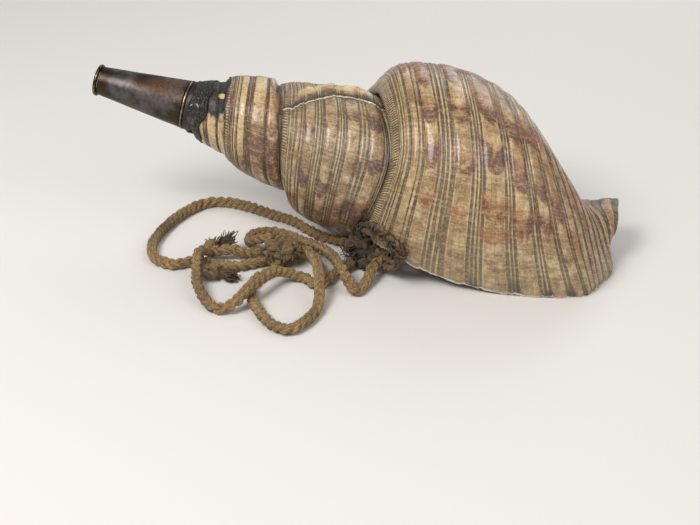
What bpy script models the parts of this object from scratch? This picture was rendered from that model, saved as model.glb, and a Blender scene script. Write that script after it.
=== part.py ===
"""Conch shell trumpet: a cut triton shell with a brass mouthpiece, a pitch seal and a braided cord.

Metres, +Z up. The shell lies on its mouth, its coiling axis above the X axis, with the mouthpiece
at -X and the siphonal end at +X. The origin is below the middle of the horn, on the surface that it
lies on. Every place on the shell is given by its turn, its axial place and its radius: the turn is
0 at the lip and falls by one for each whorl towards the tip, and the axial place is measured along
the coiling axis from the rim of the mouthpiece.
"""
import math

import bmesh
import bpy
import numpy as np
from mathutils import Vector

# Placing of the coiling axis
RIM_X = -0.1948
AXIS_Y = 0.0052
RIM_HEIGHT = 0.1142
AXIS_TILT = math.radians(13.0)
LIP_ANGLE = math.radians(225.0)

# Growth of the shell: the line where each whorl meets the one before, as (turn, axial, radius)
SUTURE = (
    (-4.000, 0.0550, 0.0130),
    (-3.375, 0.0700, 0.0180),
    (-2.875, 0.0830, 0.0220),
    (-2.375, 0.0970, 0.0275),
    (-1.875, 0.1150, 0.0315),
    (-1.375, 0.1360, 0.0360),
    (-0.875, 0.1660, 0.0425),
    (-0.375, 0.2060, 0.0485),
    (-0.170, 0.2290, 0.0520),
    (0.000, 0.2240, 0.0560),
)
# How far each whorl swells past the straight line between its sutures, as (turn, swell)
SWELL = (
    (-4.000, 0.0015),
    (-2.375, 0.0030),
    (-1.875, 0.0035),
    (-1.375, 0.0030),
    (-0.875, 0.0145),
    (-0.375, 0.0245),
    (0.000, 0.0200),
)
# Share of the swell at each share of the way from suture to suture
SWELL_SHAPE = ((0.09, 0.78), (0.29, 1.00), (0.55, 0.94), (0.80, 0.58))
# Front end of the body whorl, as (turn, base, neck, waist, edge), each an (axial, radius) pair
FRONT_END = (
    (-1.000, 0.2240, 0.0560, 0.2600, 0.0430, 0.3000, 0.0240, 0.3980, 0.0120),
    (-0.875, 0.2550, 0.0560, 0.2900, 0.0400, 0.3300, 0.0230, 0.3980, 0.0150),
    (-0.625, 0.2950, 0.0610, 0.3300, 0.0400, 0.3620, 0.0140, 0.4000, 0.0260),
    (-0.375, 0.3150, 0.0640, 0.3440, 0.0380, 0.3660, 0.0105, 0.3990, 0.0140),
    (-0.125, 0.3550, 0.0720, 0.3760, 0.0500, 0.3900, 0.0300, 0.4010, 0.0150),
    (0.000, 0.3850, 0.0740, 0.3970, 0.0590, 0.4060, 0.0360, 0.3980, 0.0120),
)
# Lean of the lip, as (share along the profile, angle)
LIP_LEAN = (
    (0.0, 0.0),
    (0.1, math.radians(-7.0)),
    (0.3, math.radians(-13.0)),
    (0.5, math.radians(-15.0)),
    (0.7, math.radians(-18.0)),
    (0.9, math.radians(-22.0)),
    (1.2, math.radians(-21.0)),
    (1.7, math.radians(-8.0)),
    (2.0, 0.0),
)
LEAN_TURNS = 0.40


def smooth_table(table, place):
    """Values of a table of stations at one place, on smooth curves that never overshoot."""
    rows = np.array(table, dtype=float)
    x, y = rows[:, 0], rows[:, 1:]
    step = np.diff(x)[:, None]
    slope = np.diff(y, axis=0) / step
    if place <= x[0]:
        return y[0] + (place - x[0]) * slope[0]
    if place >= x[-1]:
        return y[-1] + (place - x[-1]) * slope[-1]
    tangent = np.zeros_like(y)
    tangent[0], tangent[-1] = slope[0], slope[-1]
    left, right = slope[:-1], slope[1:]
    same_way = left * right > 0
    total = np.where(same_way, left + right, 1.0)
    tangent[1:-1] = np.where(same_way, 2 * left * right / total, 0.0)
    i = int(np.searchsorted(x, place, side="right")) - 1
    width = x[i + 1] - x[i]
    t = (place - x[i]) / width
    return ((2 * t**3 - 3 * t**2 + 1) * y[i] + (t**3 - 2 * t**2 + t) * width * tangent[i]
            + (3 * t**2 - 2 * t**3) * y[i + 1] + (t**3 - t**2) * width * tangent[i + 1])


def front_end(turn):
    """Base, neck, waist and edge of the profile at a turn; inner whorls repeat the first one, smaller."""
    if turn >= -1.0:
        return smooth_table(FRONT_END, turn).reshape(4, 2)
    first = smooth_table(FRONT_END, -1.0).reshape(4, 2)
    base = smooth_table(SUTURE, turn + 1.0)
    return base + (first - first[0]) * (base[1] / first[0][1])


def profile_stations(turn):
    """Control points (axial, radius) of the whorl's profile: suture, swell, then the front end."""
    suture = smooth_table(SUTURE, turn)
    end = front_end(turn)
    swell = smooth_table(SWELL, turn)[0]
    points = [suture]
    for share, height in SWELL_SHAPE:
        points.append(suture + (end[0] - suture) * share + np.array([0.0, swell * height]))
    return np.array(points + list(end))


def profile_point(turn, share):
    """Point of the profile: share 0 at the suture, 1 at the base, 2 at the end of the siphon."""
    points = profile_stations(turn)
    spans = len(SWELL_SHAPE) + 1
    knot = share * spans if share <= 1.0 else spans + (share - 1.0) * (len(points) - 1 - spans)
    i = min(int(knot), len(points) - 2)
    t = knot - i
    before = points[i - 1] if i > 0 else 2 * points[0] - points[1]
    after = points[i + 2] if i + 2 < len(points) else 2 * points[-1] - points[-2]
    a, b = points[i], points[i + 1]
    return 0.5 * (2 * a + (b - before) * t + (2 * before - 5 * a + 4 * b - after) * t**2
                  + (3 * a - before - 3 * b + after) * t**3)


def axis_point(axial, radius=0.0, angle=0.0):
    """World place of a point given along, out from and round the coiling axis."""
    along = (math.cos(AXIS_TILT), 0.0, -math.sin(AXIS_TILT))
    up = (math.sin(AXIS_TILT), 0.0, math.cos(AXIS_TILT))
    y, z = radius * math.cos(angle), radius * math.sin(angle)
    return np.array([RIM_X + axial * along[0] + z * up[0], AXIS_Y + y,
                     RIM_HEIGHT + axial * along[2] + z * up[2]])


def lean_at(turn, share):
    """Extra angle of the growth line near the lip."""
    ramp = min(max(1.0 + turn / LEAN_TURNS, 0.0), 1.0)
    return smooth_table(LIP_LEAN, share)[0] * ramp * ramp * (3 - 2 * ramp)


def shell_point(turn, share, raise_by=0.0):
    """World place of a point on the outside of the shell, raised along the profile's normal."""
    here = profile_point(turn, share)
    nudge = 1e-3
    tangent = profile_point(turn, min(share + nudge, 2.0)) - profile_point(turn, max(share - nudge, 0.0))
    tangent = tangent / np.linalg.norm(tangent)
    axial, radius = here + raise_by * np.array([-tangent[1], tangent[0]])
    angle = LIP_ANGLE + 2 * math.pi * turn + lean_at(turn, share)
    return axis_point(axial, max(radius, 0.0005), angle)


# Shell walls, ribs and cuts
WALL = 0.0024
CALLUS = 0.0008
RIB_HEIGHT = 0.0011
RIB_COUNT = 8
FRONT_RIBS = 7
TURN_STEPS = 28
FIRST_TURN = -4.0
CAVITY_START = -2.55
CAVITY_STEPS = 20
CAVITY_COLUMNS = 9
CAVITY_PAST_LIP = 0.05
CAVITY_SLIT = 0.0015
# Share of the profile where the cavity starts, and where it ends at each turn
CAVITY_FIRST_SHARE = 0.07
CAVITY_LAST_SHARE = (
    (-3.000, 1.45),
    (-0.900, 1.60),
    (-0.600, 1.45),
    (-0.350, 1.42),
    (-0.125, 1.70),
    (0.000, 1.93),
)
SIPHON_RIM = 0.0030
SIPHON_DEPTH = 0.0120

# Brass mouthpiece, measured along the axis from the rim
SEAT = 0.0003
SHEET = 0.0010
RIM_RADIUS = 0.0119
RIM_WIDTH = 0.0027
RIM_FLAT = 0.0014
CONE_START_RADIUS = 0.0106
CONE_END_RADIUS = 0.0180
CONE_LENGTH = 0.0660
CUP_RADIUS = 0.0084
CUP_LENGTH = 0.0200
THROAT_RADIUS = 0.0036
THROAT_WALL = 0.0012
RING_WIDTH = 0.0024
RING_PROUD = 0.0008
SKIRT_LENGTH = 0.0065
SKIRT_STEP = 0.0003
SKIRT_FLARE = 0.0014
PITCH_LAP = 0.0034
PITCH_REACH = 0.0085
PITCH_WAVE = 0.0022
PITCH_THICKNESS = 0.0014
PITCH_STEPS = 40
CONE_START = RIM_WIDTH + SEAT
CONE_END = CONE_START + CONE_LENGTH
RING_START = CONE_END + SEAT
SKIRT_START = RING_START + RING_WIDTH + SEAT
SKIRT_END = SKIRT_START + SKIRT_LENGTH
SHELL_CUT = SKIRT_END + 0.0015
BORE_RADIUS = 0.0085
BORE_LENGTH = 0.0260

# Braided cord: two tails from the hitch at the lip's corner to the centre knot, and one loop from it
CORD_RADIUS = 0.0040
CORD_LIE = CORD_RADIUS + SEAT
CORD_HUMP = 3 * CORD_RADIUS + 5 * SEAT
CORD_STEP = 0.0130
CORD_SIDES = 2
ROUTE_SAMPLES = 24
# Lumps of tied cord, as (centre, half sizes, strands that show, depth between them)
HITCH = ((0.0190, -0.0420, 0.0125), (0.0190, 0.0135, 0.0122), 4, 0.07)
CENTER_KNOT = ((-0.0450, -0.0490, 0.0103), (0.0145, 0.0135, 0.0100), 6, 0.07)
REAR_CORD_END = ((-0.1003, -0.0460, 0.0062), (0.0056, 0.0090, 0.0060), 5, 0.05)
REAR_TUFT = ((-0.0872, -0.0413, 0.0068), (0.0078, 0.0052, 0.0064), 7, 0.14)
FRONT_CORD_END = ((-0.0918, -0.0800, 0.0062), (0.0066, 0.0080, 0.0058), 5, 0.05)
FRONT_TUFT = ((-0.0784, -0.0785, 0.0055), (0.0068, 0.0060, 0.0050), 7, 0.14)
LOW, MID, HIGH = CORD_LIE, 0.0090, CORD_HUMP
REAR_ROUTE = (
    (0.0150, -0.0350, 0.0120), (0.0010, -0.0250, MID), (-0.0110, -0.0160, LOW),
    (-0.0220, -0.0120, LOW), (-0.0340, -0.0030, LOW), (-0.0500, 0.0100, LOW),
    (-0.0660, 0.0170, LOW), (-0.0900, 0.0280, LOW), (-0.1100, 0.0320, LOW),
    (-0.1260, 0.0260, LOW), (-0.1380, 0.0050, LOW), (-0.1450, -0.0230, LOW),
    (-0.1460, -0.0460, LOW), (-0.1380, -0.0640, LOW), (-0.1230, -0.0710, LOW),
    (-0.1120, -0.0660, LOW), (-0.1010, -0.0640, LOW), (-0.0870, -0.0670, LOW),
    (-0.0730, -0.0650, LOW), (-0.0610, -0.0580, LOW), (-0.0450, -0.0510, MID),
)
FRONT_ROUTE = (
    (0.0270, -0.0400, 0.0120), (0.0180, -0.0430, 0.0100), (0.0100, -0.0480, MID),
    (0.0030, -0.0570, LOW), (-0.0030, -0.0660, LOW), (-0.0080, -0.0770, LOW),
    (-0.0140, -0.0820, LOW), (-0.0210, -0.0760, LOW), (-0.0280, -0.0730, LOW),
    (-0.0380, -0.0770, MID), (-0.0450, -0.0850, HIGH), (-0.0505, -0.0970, HIGH),
    (-0.0560, -0.1090, HIGH), (-0.0620, -0.1200, MID), (-0.0720, -0.1250, LOW),
    (-0.0820, -0.1210, LOW), (-0.0940, -0.1060, MID), (-0.1000, -0.0880, MID),
    (-0.1030, -0.0730, HIGH), (-0.1010, -0.0630, HIGH), (-0.0940, -0.0550, MID),
    (-0.0830, -0.0510, MID), (-0.0700, -0.0470, LOW), (-0.0580, -0.0450, LOW),
    (-0.0450, -0.0470, MID),
)
SLACK_ROUTE = (
    (0.0290, -0.0510, 0.0120), (0.0240, -0.0620, MID), (0.0210, -0.0750, LOW),
    (0.0160, -0.0870, LOW), (0.0100, -0.0840, MID), (0.0030, -0.0730, HIGH),
    (-0.0020, -0.0640, HIGH), (-0.0080, -0.0540, HIGH), (-0.0200, -0.0370, MID),
    (-0.0350, -0.0220, LOW), (-0.0520, -0.0120, LOW), (-0.0670, -0.0110, LOW),
    (-0.0750, -0.0180, LOW), (-0.0755, -0.0280, LOW), (-0.0695, -0.0345, MID),
    (-0.0590, -0.0380, HIGH), (-0.0450, -0.0430, HIGH),
)
LOOP_ROUTE = (
    (-0.0450, -0.0470, MID), (-0.0300, -0.0430, MID), (-0.0220, -0.0510, MID),
    (-0.0170, -0.0640, HIGH), (-0.0125, -0.0780, HIGH), (-0.0090, -0.0920, HIGH),
    (-0.0070, -0.1140, LOW), (-0.0130, -0.1340, LOW), (-0.0220, -0.1430, LOW),
    (-0.0340, -0.1380, LOW), (-0.0450, -0.1250, LOW), (-0.0540, -0.1090, LOW),
    (-0.0585, -0.0950, LOW), (-0.0570, -0.0810, LOW), (-0.0490, -0.0690, LOW),
    (-0.0440, -0.0550, MID),
)


# Building helpers
def new_material(name, color, roughness, metallic=0.0):
    """Principled material of one plain finish."""
    material = bpy.data.materials.new(name)
    material.use_nodes = True
    shader = material.node_tree.nodes["Principled BSDF"]
    shader.inputs["Base Color"].default_value = (*color, 1.0)
    shader.inputs["Roughness"].default_value = roughness
    shader.inputs["Metallic"].default_value = metallic
    return material


def add_object(name, mesh, material, collection):
    """Object for a mesh, in its collection and with its material."""
    item = bpy.data.objects.new(name, mesh)
    collection.objects.link(item)
    if material:
        mesh.materials.append(material)
    return item


def mesh_from_points(name, points, faces):
    """Mesh from rows of points, with its normals turned outwards."""
    mesh = bpy.data.meshes.new(name)
    mesh.from_pydata([tuple(p) for p in points], [], faces)
    form = bmesh.new()
    form.from_mesh(mesh)
    bmesh.ops.recalc_face_normals(form, faces=form.faces)
    if form.calc_volume(signed=True) < 0:
        bmesh.ops.reverse_faces(form, faces=form.faces)
    form.to_mesh(mesh)
    form.free()
    return mesh


def cut(item, cutter, solver="EXACT"):
    """Take the cutter's shape out of an object."""
    cutter.hide_render = True
    cutter.display_type = "WIRE"
    boolean = item.modifiers.new("Cut " + cutter.name, "BOOLEAN")
    boolean.operation = "DIFFERENCE"
    boolean.solver = solver
    boolean.object = cutter


def place_on_axis(item, axial=0.0):
    """Stand an object's own Z axis on the coiling axis, pointing at the siphon."""
    item.location = Vector(axis_point(axial))
    item.rotation_euler = (0.0, math.pi / 2 + AXIS_TILT, 0.0)


def turned(name, outline, material, collection, steps=40):
    """Turned piece on the coiling axis from a closed outline of (radius, axial) points.

    The outline runs from the siphon's end of the outer side to the mouth's end, and back inside.
    """
    mesh = bpy.data.meshes.new(name)
    points = [(radius, 0.0, axial) for radius, axial in outline]
    edges = [(i, (i + 1) % len(points)) for i in range(len(points))]
    mesh.from_pydata(points, edges, [])
    item = add_object(name, mesh, material, collection)
    screw = item.modifiers.new("Turn", "SCREW")
    screw.steps = steps
    screw.render_steps = steps
    screw.use_merge_vertices = True
    screw.merge_threshold = 0.00001
    place_on_axis(item)
    return item


def rib_shares():
    """Shares along the profile of the mesh's columns, with the rib height at each."""
    columns = []
    for first, count in ((0.0, RIB_COUNT), (1.0, FRONT_RIBS)):
        for rib in range(count):
            for place, height in ((0.0, 0.0), (0.30, 1.0), (0.75, 0.9)):
                columns.append((first + (rib + place) / count, height))
    columns.append((2.0, 0.0))
    return columns


def shell_form(name):
    """Closed solid of the shell's outside, from the tip to the lip, before it is hollowed."""
    columns = rib_shares()
    spire_columns = [c for c in columns if c[0] <= 1.0]
    turns = [FIRST_TURN + i / TURN_STEPS for i in range(int(-FIRST_TURN * TURN_STEPS) + 1)]
    first_body = len(turns) - 1 - TURN_STEPS
    points, index = [], {}
    for row, turn in enumerate(turns):
        scale = min(1.0, smooth_table(SUTURE, min(turn, -0.2))[1] / SUTURE[-1][2] + 0.1)
        row_columns = columns if row >= first_body else spire_columns
        for column, (share, height) in enumerate(row_columns):
            shared_suture = share == 1.0 and row <= first_body
            shared_siphon = share == 2.0 and row == first_body
            if shared_suture or shared_siphon:
                continue
            relief = RIB_HEIGHT * height * scale
            index[row, column] = len(points)
            points.append(shell_point(turn, share, relief))
    seam = len(spire_columns) - 1
    for row in range(first_body + 1):
        index[row, seam] = index[row + TURN_STEPS, 0]
    last_column = len(columns) - 1
    index[first_body, last_column] = index[len(turns) - 1, last_column]
    faces = []
    for row in range(len(turns) - 1):
        width = len(columns) if row >= first_body else len(spire_columns)
        for column in range(width - 1):
            corners = [index[row, column], index[row + 1, column],
                       index[row + 1, column + 1], index[row, column + 1]]
            faces.append([c for i, c in enumerate(corners) if c != corners[i - 1]])
    tip = len(points)
    points.append(axis_point(SUTURE[0][1] - 0.004))
    for row in range(TURN_STEPS):
        faces.append([index[row + 1, 0], index[row, 0], tip])
    for column in range(seam):
        faces.append([index[0, column], index[0, column + 1], tip])
    end = len(turns) - 1
    lip = [index[end, column] for column in range(len(columns))]
    inner = [index[first_body, column] for column in range(seam, len(columns))]
    faces += bridge(lip, inner)
    faces += siphon_recess(points, index, first_body, end, last_column)
    return mesh_from_points(name, points, faces)


def bridge(long_side, short_side):
    """Faces between two polylines that share their first and last points."""
    faces = []
    i = j = 0
    while i < len(long_side) - 1 or j < len(short_side) - 1:
        step_long = (i + 1) / (len(long_side) - 1) <= (j + 1) / (len(short_side) - 1)
        if j == len(short_side) - 1 or (step_long and i < len(long_side) - 1):
            corners = [long_side[i], long_side[i + 1], short_side[j]]
            i += 1
        else:
            corners = [long_side[i], short_side[j + 1], short_side[j]]
            j += 1
        if len(set(corners)) == 3:
            faces.append(corners)
    return faces


def siphon_recess(points, index, first_body, end, last_column):
    """Hollow front of the siphon: a rim, a sloping wall and a centre."""
    rings = [[index[row, last_column] for row in range(first_body, end)]]
    for inset, depth, share in ((SIPHON_RIM, 0.0, 1.0), (SIPHON_RIM, SIPHON_DEPTH, 0.5)):
        ring = []
        for row in range(first_body, end):
            turn = (row - end) / TURN_STEPS
            axial, radius = profile_point(turn, 2.0)
            ring.append(len(points))
            inner = max(radius - inset, 0.004) * share
            points.append(axis_point(axial - depth, inner, LIP_ANGLE + 2 * math.pi * turn))
        rings.append(ring)
    faces = []
    for outer, inner in zip(rings, rings[1:]):
        for k in range(len(outer)):
            n = (k + 1) % len(outer)
            faces.append([outer[k], outer[n], inner[n], inner[k]])
    centre = len(points)
    points.append(axis_point(profile_point(-1.0, 2.0)[0] - SIPHON_DEPTH - 0.001))
    for k in range(len(rings[-1])):
        faces.append([rings[-1][k], rings[-1][(k + 1) % len(rings[-1])], centre])
    return faces


def cavity_section(turn):
    """Loop of points round the hollow at a turn: the outer wall's inside, then back past the last whorl."""
    last = smooth_table(CAVITY_LAST_SHARE, min(turn, 0.0))[0]
    stations = profile_stations(turn - 1.0)[len(SWELL_SHAPE) + 1:]
    shares = np.linspace(CAVITY_FIRST_SHARE, last, CAVITY_COLUMNS)
    outer = []
    for share in shares:
        axial, radius = profile_point(turn, share)
        ahead = profile_point(turn, share + 0.01) - profile_point(turn, share - 0.01)
        ahead = ahead / np.linalg.norm(ahead)
        outer.append((axial + WALL * ahead[1], radius - WALL * ahead[0]))
    angle = LIP_ANGLE + 2 * math.pi * turn
    outside = [axis_point(axial, radius, angle + lean_at(turn, share))
               for share, (axial, radius) in zip(shares, outer)]
    inside = []
    for axial in np.linspace(outer[0][0], outer[-1][0], CAVITY_COLUMNS):
        floor = np.interp(axial, stations[:, 0], stations[:, 1]) + CALLUS
        inside.append([axial, floor])
    for inner, edge in ((inside[0], outer[0]), (inside[-1], outer[-1])):
        inner[1] = min(inner[1], edge[1] - CAVITY_SLIT)
    inside = [axis_point(axial, radius, angle) for axial, radius in inside]
    return outside + inside[::-1]


def cavity_form(name):
    """Closed tube of the shell's hollow, from the cut tip out past the lip."""
    span = CAVITY_PAST_LIP - CAVITY_START
    rows = int(round(span * CAVITY_STEPS)) + 1
    sections = [cavity_section(CAVITY_START + span * i / (rows - 1)) for i in range(rows)]
    points = [p for section in sections for p in section]
    size = len(sections[0])
    faces = []
    for row in range(rows - 1):
        for k in range(size):
            n = (k + 1) % size
            faces.append([row * size + k, row * size + n, (row + 1) * size + n, (row + 1) * size + k])
    for row in (0, rows - 1):
        base = row * size
        for k in range(CAVITY_COLUMNS - 1):
            faces.append([base + k, base + k + 1, base + size - 2 - k, base + size - 1 - k])
    return mesh_from_points(name, points, faces)


def axis_cylinder(name, start, end, radius_start, radius_end, collection, vertices=32):
    """Cone or cylinder on the coiling axis between two axial places."""
    form = bmesh.new()
    bmesh.ops.create_cone(form, cap_ends=True, segments=vertices, radius1=radius_start,
                          radius2=radius_end, depth=end - start)
    mesh = bpy.data.meshes.new(name)
    form.to_mesh(mesh)
    form.free()
    item = add_object(name, mesh, None, collection)
    place_on_axis(item, (start + end) / 2)
    return item


def shell_radius(axial, angle):
    """Radius of the shell's outside, ribs included, at an axial place and an angle."""
    first = (angle - LIP_ANGLE) / (2 * math.pi)
    first -= math.ceil(first)
    widest = 0.0
    for whorl in range(int(-FIRST_TURN)):
        turn = first - whorl
        if turn < FIRST_TURN:
            continue
        places = np.array([profile_point(turn, share) for share in np.linspace(0.0, 1.0, 17)])
        if places[0, 0] <= axial <= places[-1, 0]:
            widest = max(widest, float(np.interp(axial, places[:, 0], places[:, 1])))
    return widest + RIB_HEIGHT


def lump_surface(shape, place):
    """Share of a lump's half sizes that its surface reaches in the direction of a place."""
    centre, half, strands, depth = shape
    x, y, z = (np.array(place) - centre) / half
    rise = z / math.sqrt(x * x + y * y + z * z)
    wave = math.sin(strands * math.atan2(y, x) + 4.0 * rise)
    return 1.0 - depth * (0.5 + 0.5 * wave) * (1.0 - rise * rise)


def trim_route(points, start, end):
    """Take off what lies inside the lumps at a cord's two ends, so that its flat ends meet them."""
    def blocked(i, shape, step):
        ahead = points[i + step] - points[i]
        ahead = ahead / np.linalg.norm(ahead)
        side = np.cross(ahead, (0.0, 0.0, 1.0))
        side = side / np.linalg.norm(side)
        lift = np.cross(side, ahead)
        for k in range(12):
            turn = math.pi * k / 6
            edge = points[i] + CORD_RADIUS * (side * math.cos(turn) + lift * math.sin(turn))
            share = np.linalg.norm((edge - shape[0]) / (np.array(shape[1]) + 1.5 * SEAT))
            if share < lump_surface(shape, edge):
                return True
        return False
    middle = len(points) // 2
    first = max(i for i in range(middle) if i == 0 or blocked(i, start, ROUTE_SAMPLES)) + 1
    last = min(i for i in range(middle, len(points))
               if i == len(points) - 1 or blocked(i, end, -ROUTE_SAMPLES)) - 1
    return points[first:last + 1]


def smooth_route(route):
    """Points of a smooth curve through a route's own points."""
    route = [np.array(p) for p in route]
    route = [2 * route[0] - route[1]] + route + [2 * route[-1] - route[-2]]
    points = []
    for before, a, b, after in zip(route, route[1:], route[2:], route[3:]):
        for k in range(ROUTE_SAMPLES):
            t = k / ROUTE_SAMPLES
            points.append(0.5 * (2 * a + (b - before) * t
                                 + (2 * before - 5 * a + 4 * b - after) * t**2
                                 + (3 * a - before - 3 * b + after) * t**3))
    points.append(route[-2])
    return [np.array([x, y, max(z, CORD_LIE)]) for x, y, z in points]


def even_points(points, step):
    """The same line with points at one even step along it."""
    points = np.array(points)
    along = np.concatenate(([0.0], np.cumsum(np.linalg.norm(np.diff(points, axis=0), axis=1))))
    count = max(2, int(round(along[-1] / step)) + 1)
    places = np.linspace(0.0, along[-1], count)
    return np.array([[np.interp(p, along, points[:, k]) for k in range(3)] for p in places]), along[-1]


def cord(name, route, start, end, material, collection):
    """Round cord along a route, cut off where its two ends meet the lumps they are tied into."""
    points, length = even_points(trim_route(smooth_route(route), start, end), CORD_STEP)
    curve = bpy.data.curves.new(name, "CURVE")
    curve.dimensions = "3D"
    curve.bevel_depth = CORD_RADIUS
    curve.bevel_resolution = CORD_SIDES
    curve.use_fill_caps = True
    spline = curve.splines.new("POLY")
    spline.points.add(len(points) - 1)
    for point, place in zip(spline.points, points):
        point.co = (*place, 1.0)
    add_object(name, curve, material, collection)
    print(f"{name}: {length:.3f} m long, {len(points)} points")
    return points


def lump(name, shape, material, collection, rings=12, segments=20):
    """Tied lump of cord: a ball with the swell of the strands that wind round it."""
    centre, half = np.array(shape[0]), np.array(shape[1])
    form = bmesh.new()
    bmesh.ops.create_uvsphere(form, u_segments=segments, v_segments=rings, radius=1.0)
    for vertex in form.verts:
        out = half * np.array(vertex.co)
        vertex.co = centre + out * lump_surface(shape, centre + out)
    mesh = bpy.data.meshes.new(name)
    form.to_mesh(mesh)
    form.free()
    return add_object(name, mesh, material, collection)


def build_shell(parts, cutters):
    """The shell, hollow from the cut tip to the lip and flat where it lies on its mouth."""
    material = new_material("shell", (0.52, 0.36, 0.20), 0.35)
    shell = add_object("shell", shell_form("shell"), material, parts)
    hollow = add_object("shell_hollow", cavity_form("shell_hollow"), None, cutters)
    tip = axis_cylinder("shell_tip", -0.02, SHELL_CUT, 0.06, 0.06, cutters)
    bore = axis_cylinder("shell_bore", SHELL_CUT - 0.01, SHELL_CUT + BORE_LENGTH,
                         BORE_RADIUS, BORE_RADIUS * 0.7, cutters)
    table = box("table", (-0.30, -0.20, -0.05), (0.30, 0.20, 0.0), cutters)
    for cutter in (tip, bore, hollow, table):
        cut(shell, cutter)
    shell.data.shade_smooth()


def build_mouthpiece(parts):
    """Rim, cup, cone, seam ring and skirt: turned pieces that meet end to end."""
    brass = new_material("aged_brass", (0.20, 0.14, 0.09), 0.38, 1.0)
    bright = new_material("worn_brass", (0.62, 0.42, 0.20), 0.30, 1.0)
    steel = new_material("grey_metal", (0.16, 0.15, 0.14), 0.45, 1.0)
    inner = CONE_START_RADIUS - SHEET
    crown = RIM_RADIUS - RIM_FLAT
    turned("mouthpiece_rim", [
        (RIM_RADIUS - 0.0004, RIM_WIDTH), (RIM_RADIUS, RIM_WIDTH * 0.75), (RIM_RADIUS, RIM_WIDTH * 0.4),
        (RIM_RADIUS - 0.0003, RIM_WIDTH * 0.12), (RIM_RADIUS - 0.0007, 0.0), (crown - 0.0004, 0.0),
        (inner - 0.0002, RIM_WIDTH * 0.25), (inner - 0.0004, RIM_WIDTH)], bright, parts)
    turned("mouthpiece_cone", [
        (CONE_END_RADIUS, CONE_END), (CONE_START_RADIUS, CONE_START),
        (inner, CONE_START), (CONE_END_RADIUS - SHEET, CONE_END)], brass, parts)
    cup_end = CONE_START + CUP_LENGTH
    turned("mouthpiece_cup", [
        (THROAT_RADIUS + THROAT_WALL, cup_end), (THROAT_RADIUS + THROAT_WALL, cup_end - 0.003),
        (inner - SEAT, CONE_START + 0.006), (inner - SEAT, CONE_START),
        (CUP_RADIUS, CONE_START), (CUP_RADIUS * 0.86, CONE_START + 0.004),
        (CUP_RADIUS * 0.62, CONE_START + 0.010), (THROAT_RADIUS, cup_end - 0.004),
        (THROAT_RADIUS, cup_end)], brass, parts)
    ring_inner = CONE_END_RADIUS - SHEET
    ring_end = RING_START + RING_WIDTH
    turned("seam_ring", [
        (CONE_END_RADIUS + RING_PROUD * 0.4, ring_end), (CONE_END_RADIUS + RING_PROUD, ring_end - 0.0007),
        (CONE_END_RADIUS + RING_PROUD, RING_START + 0.0007), (CONE_END_RADIUS + RING_PROUD * 0.4, RING_START),
        (ring_inner, RING_START), (ring_inner, ring_end)], bright, parts)
    turned("ferrule_skirt", [
        (CONE_END_RADIUS + SKIRT_FLARE, SKIRT_END), (CONE_END_RADIUS + SKIRT_STEP, SKIRT_START),
        (ring_inner + 0.0001, SKIRT_START), (CONE_END_RADIUS + SKIRT_FLARE - SHEET, SKIRT_END)], steel, parts)


def build_pitch(parts):
    """Pitch seal: laps the skirt, fills the joint and grips the shell with a ragged edge."""
    material = new_material("black_pitch", (0.018, 0.016, 0.015), 0.42)
    joint = CONE_END_RADIUS - SHEET
    lap = SKIRT_END - PITCH_LAP
    points, size = [], 12
    for k in range(PITCH_STEPS):
        angle = 2 * math.pi * k / PITCH_STEPS
        end = SHELL_CUT + PITCH_REACH + PITCH_WAVE * math.sin(5 * angle + 0.6) * math.cos(2 * angle)
        mid = (SHELL_CUT + end) / 2
        skirt = CONE_END_RADIUS + SKIRT_FLARE
        lap_radius = skirt - (SKIRT_FLARE - SKIRT_STEP) * PITCH_LAP / SKIRT_LENGTH
        shell = [shell_radius(place, angle) + SEAT for place in (SHELL_CUT, mid, end)]
        outline = [
            (lap, lap_radius + SEAT), (SKIRT_END + SEAT, skirt + 2 * SEAT), (SKIRT_END + SEAT, joint),
            (SHELL_CUT - SEAT, joint), (SHELL_CUT - SEAT, shell[0]), (mid, shell[1]), (end, shell[2]),
            (end, shell[2] + 0.35 * PITCH_THICKNESS), (mid, shell[1] + PITCH_THICKNESS),
            (SHELL_CUT, shell[0] + PITCH_THICKNESS), (SKIRT_END - 0.0006, skirt + 1.3 * PITCH_THICKNESS),
            (lap, lap_radius + SEAT + 0.5 * PITCH_THICKNESS)]
        points += [axis_point(axial, radius, angle) for axial, radius in outline]
    faces = []
    for k in range(PITCH_STEPS):
        here, ahead = k * size, (k + 1) % PITCH_STEPS * size
        for i in range(size):
            n = (i + 1) % size
            faces.append([here + i, here + n, ahead + n, ahead + i])
    pitch = add_object("pitch_seal", mesh_from_points("pitch_seal", points, faces), material, parts)
    pitch.data.shade_smooth()


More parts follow.
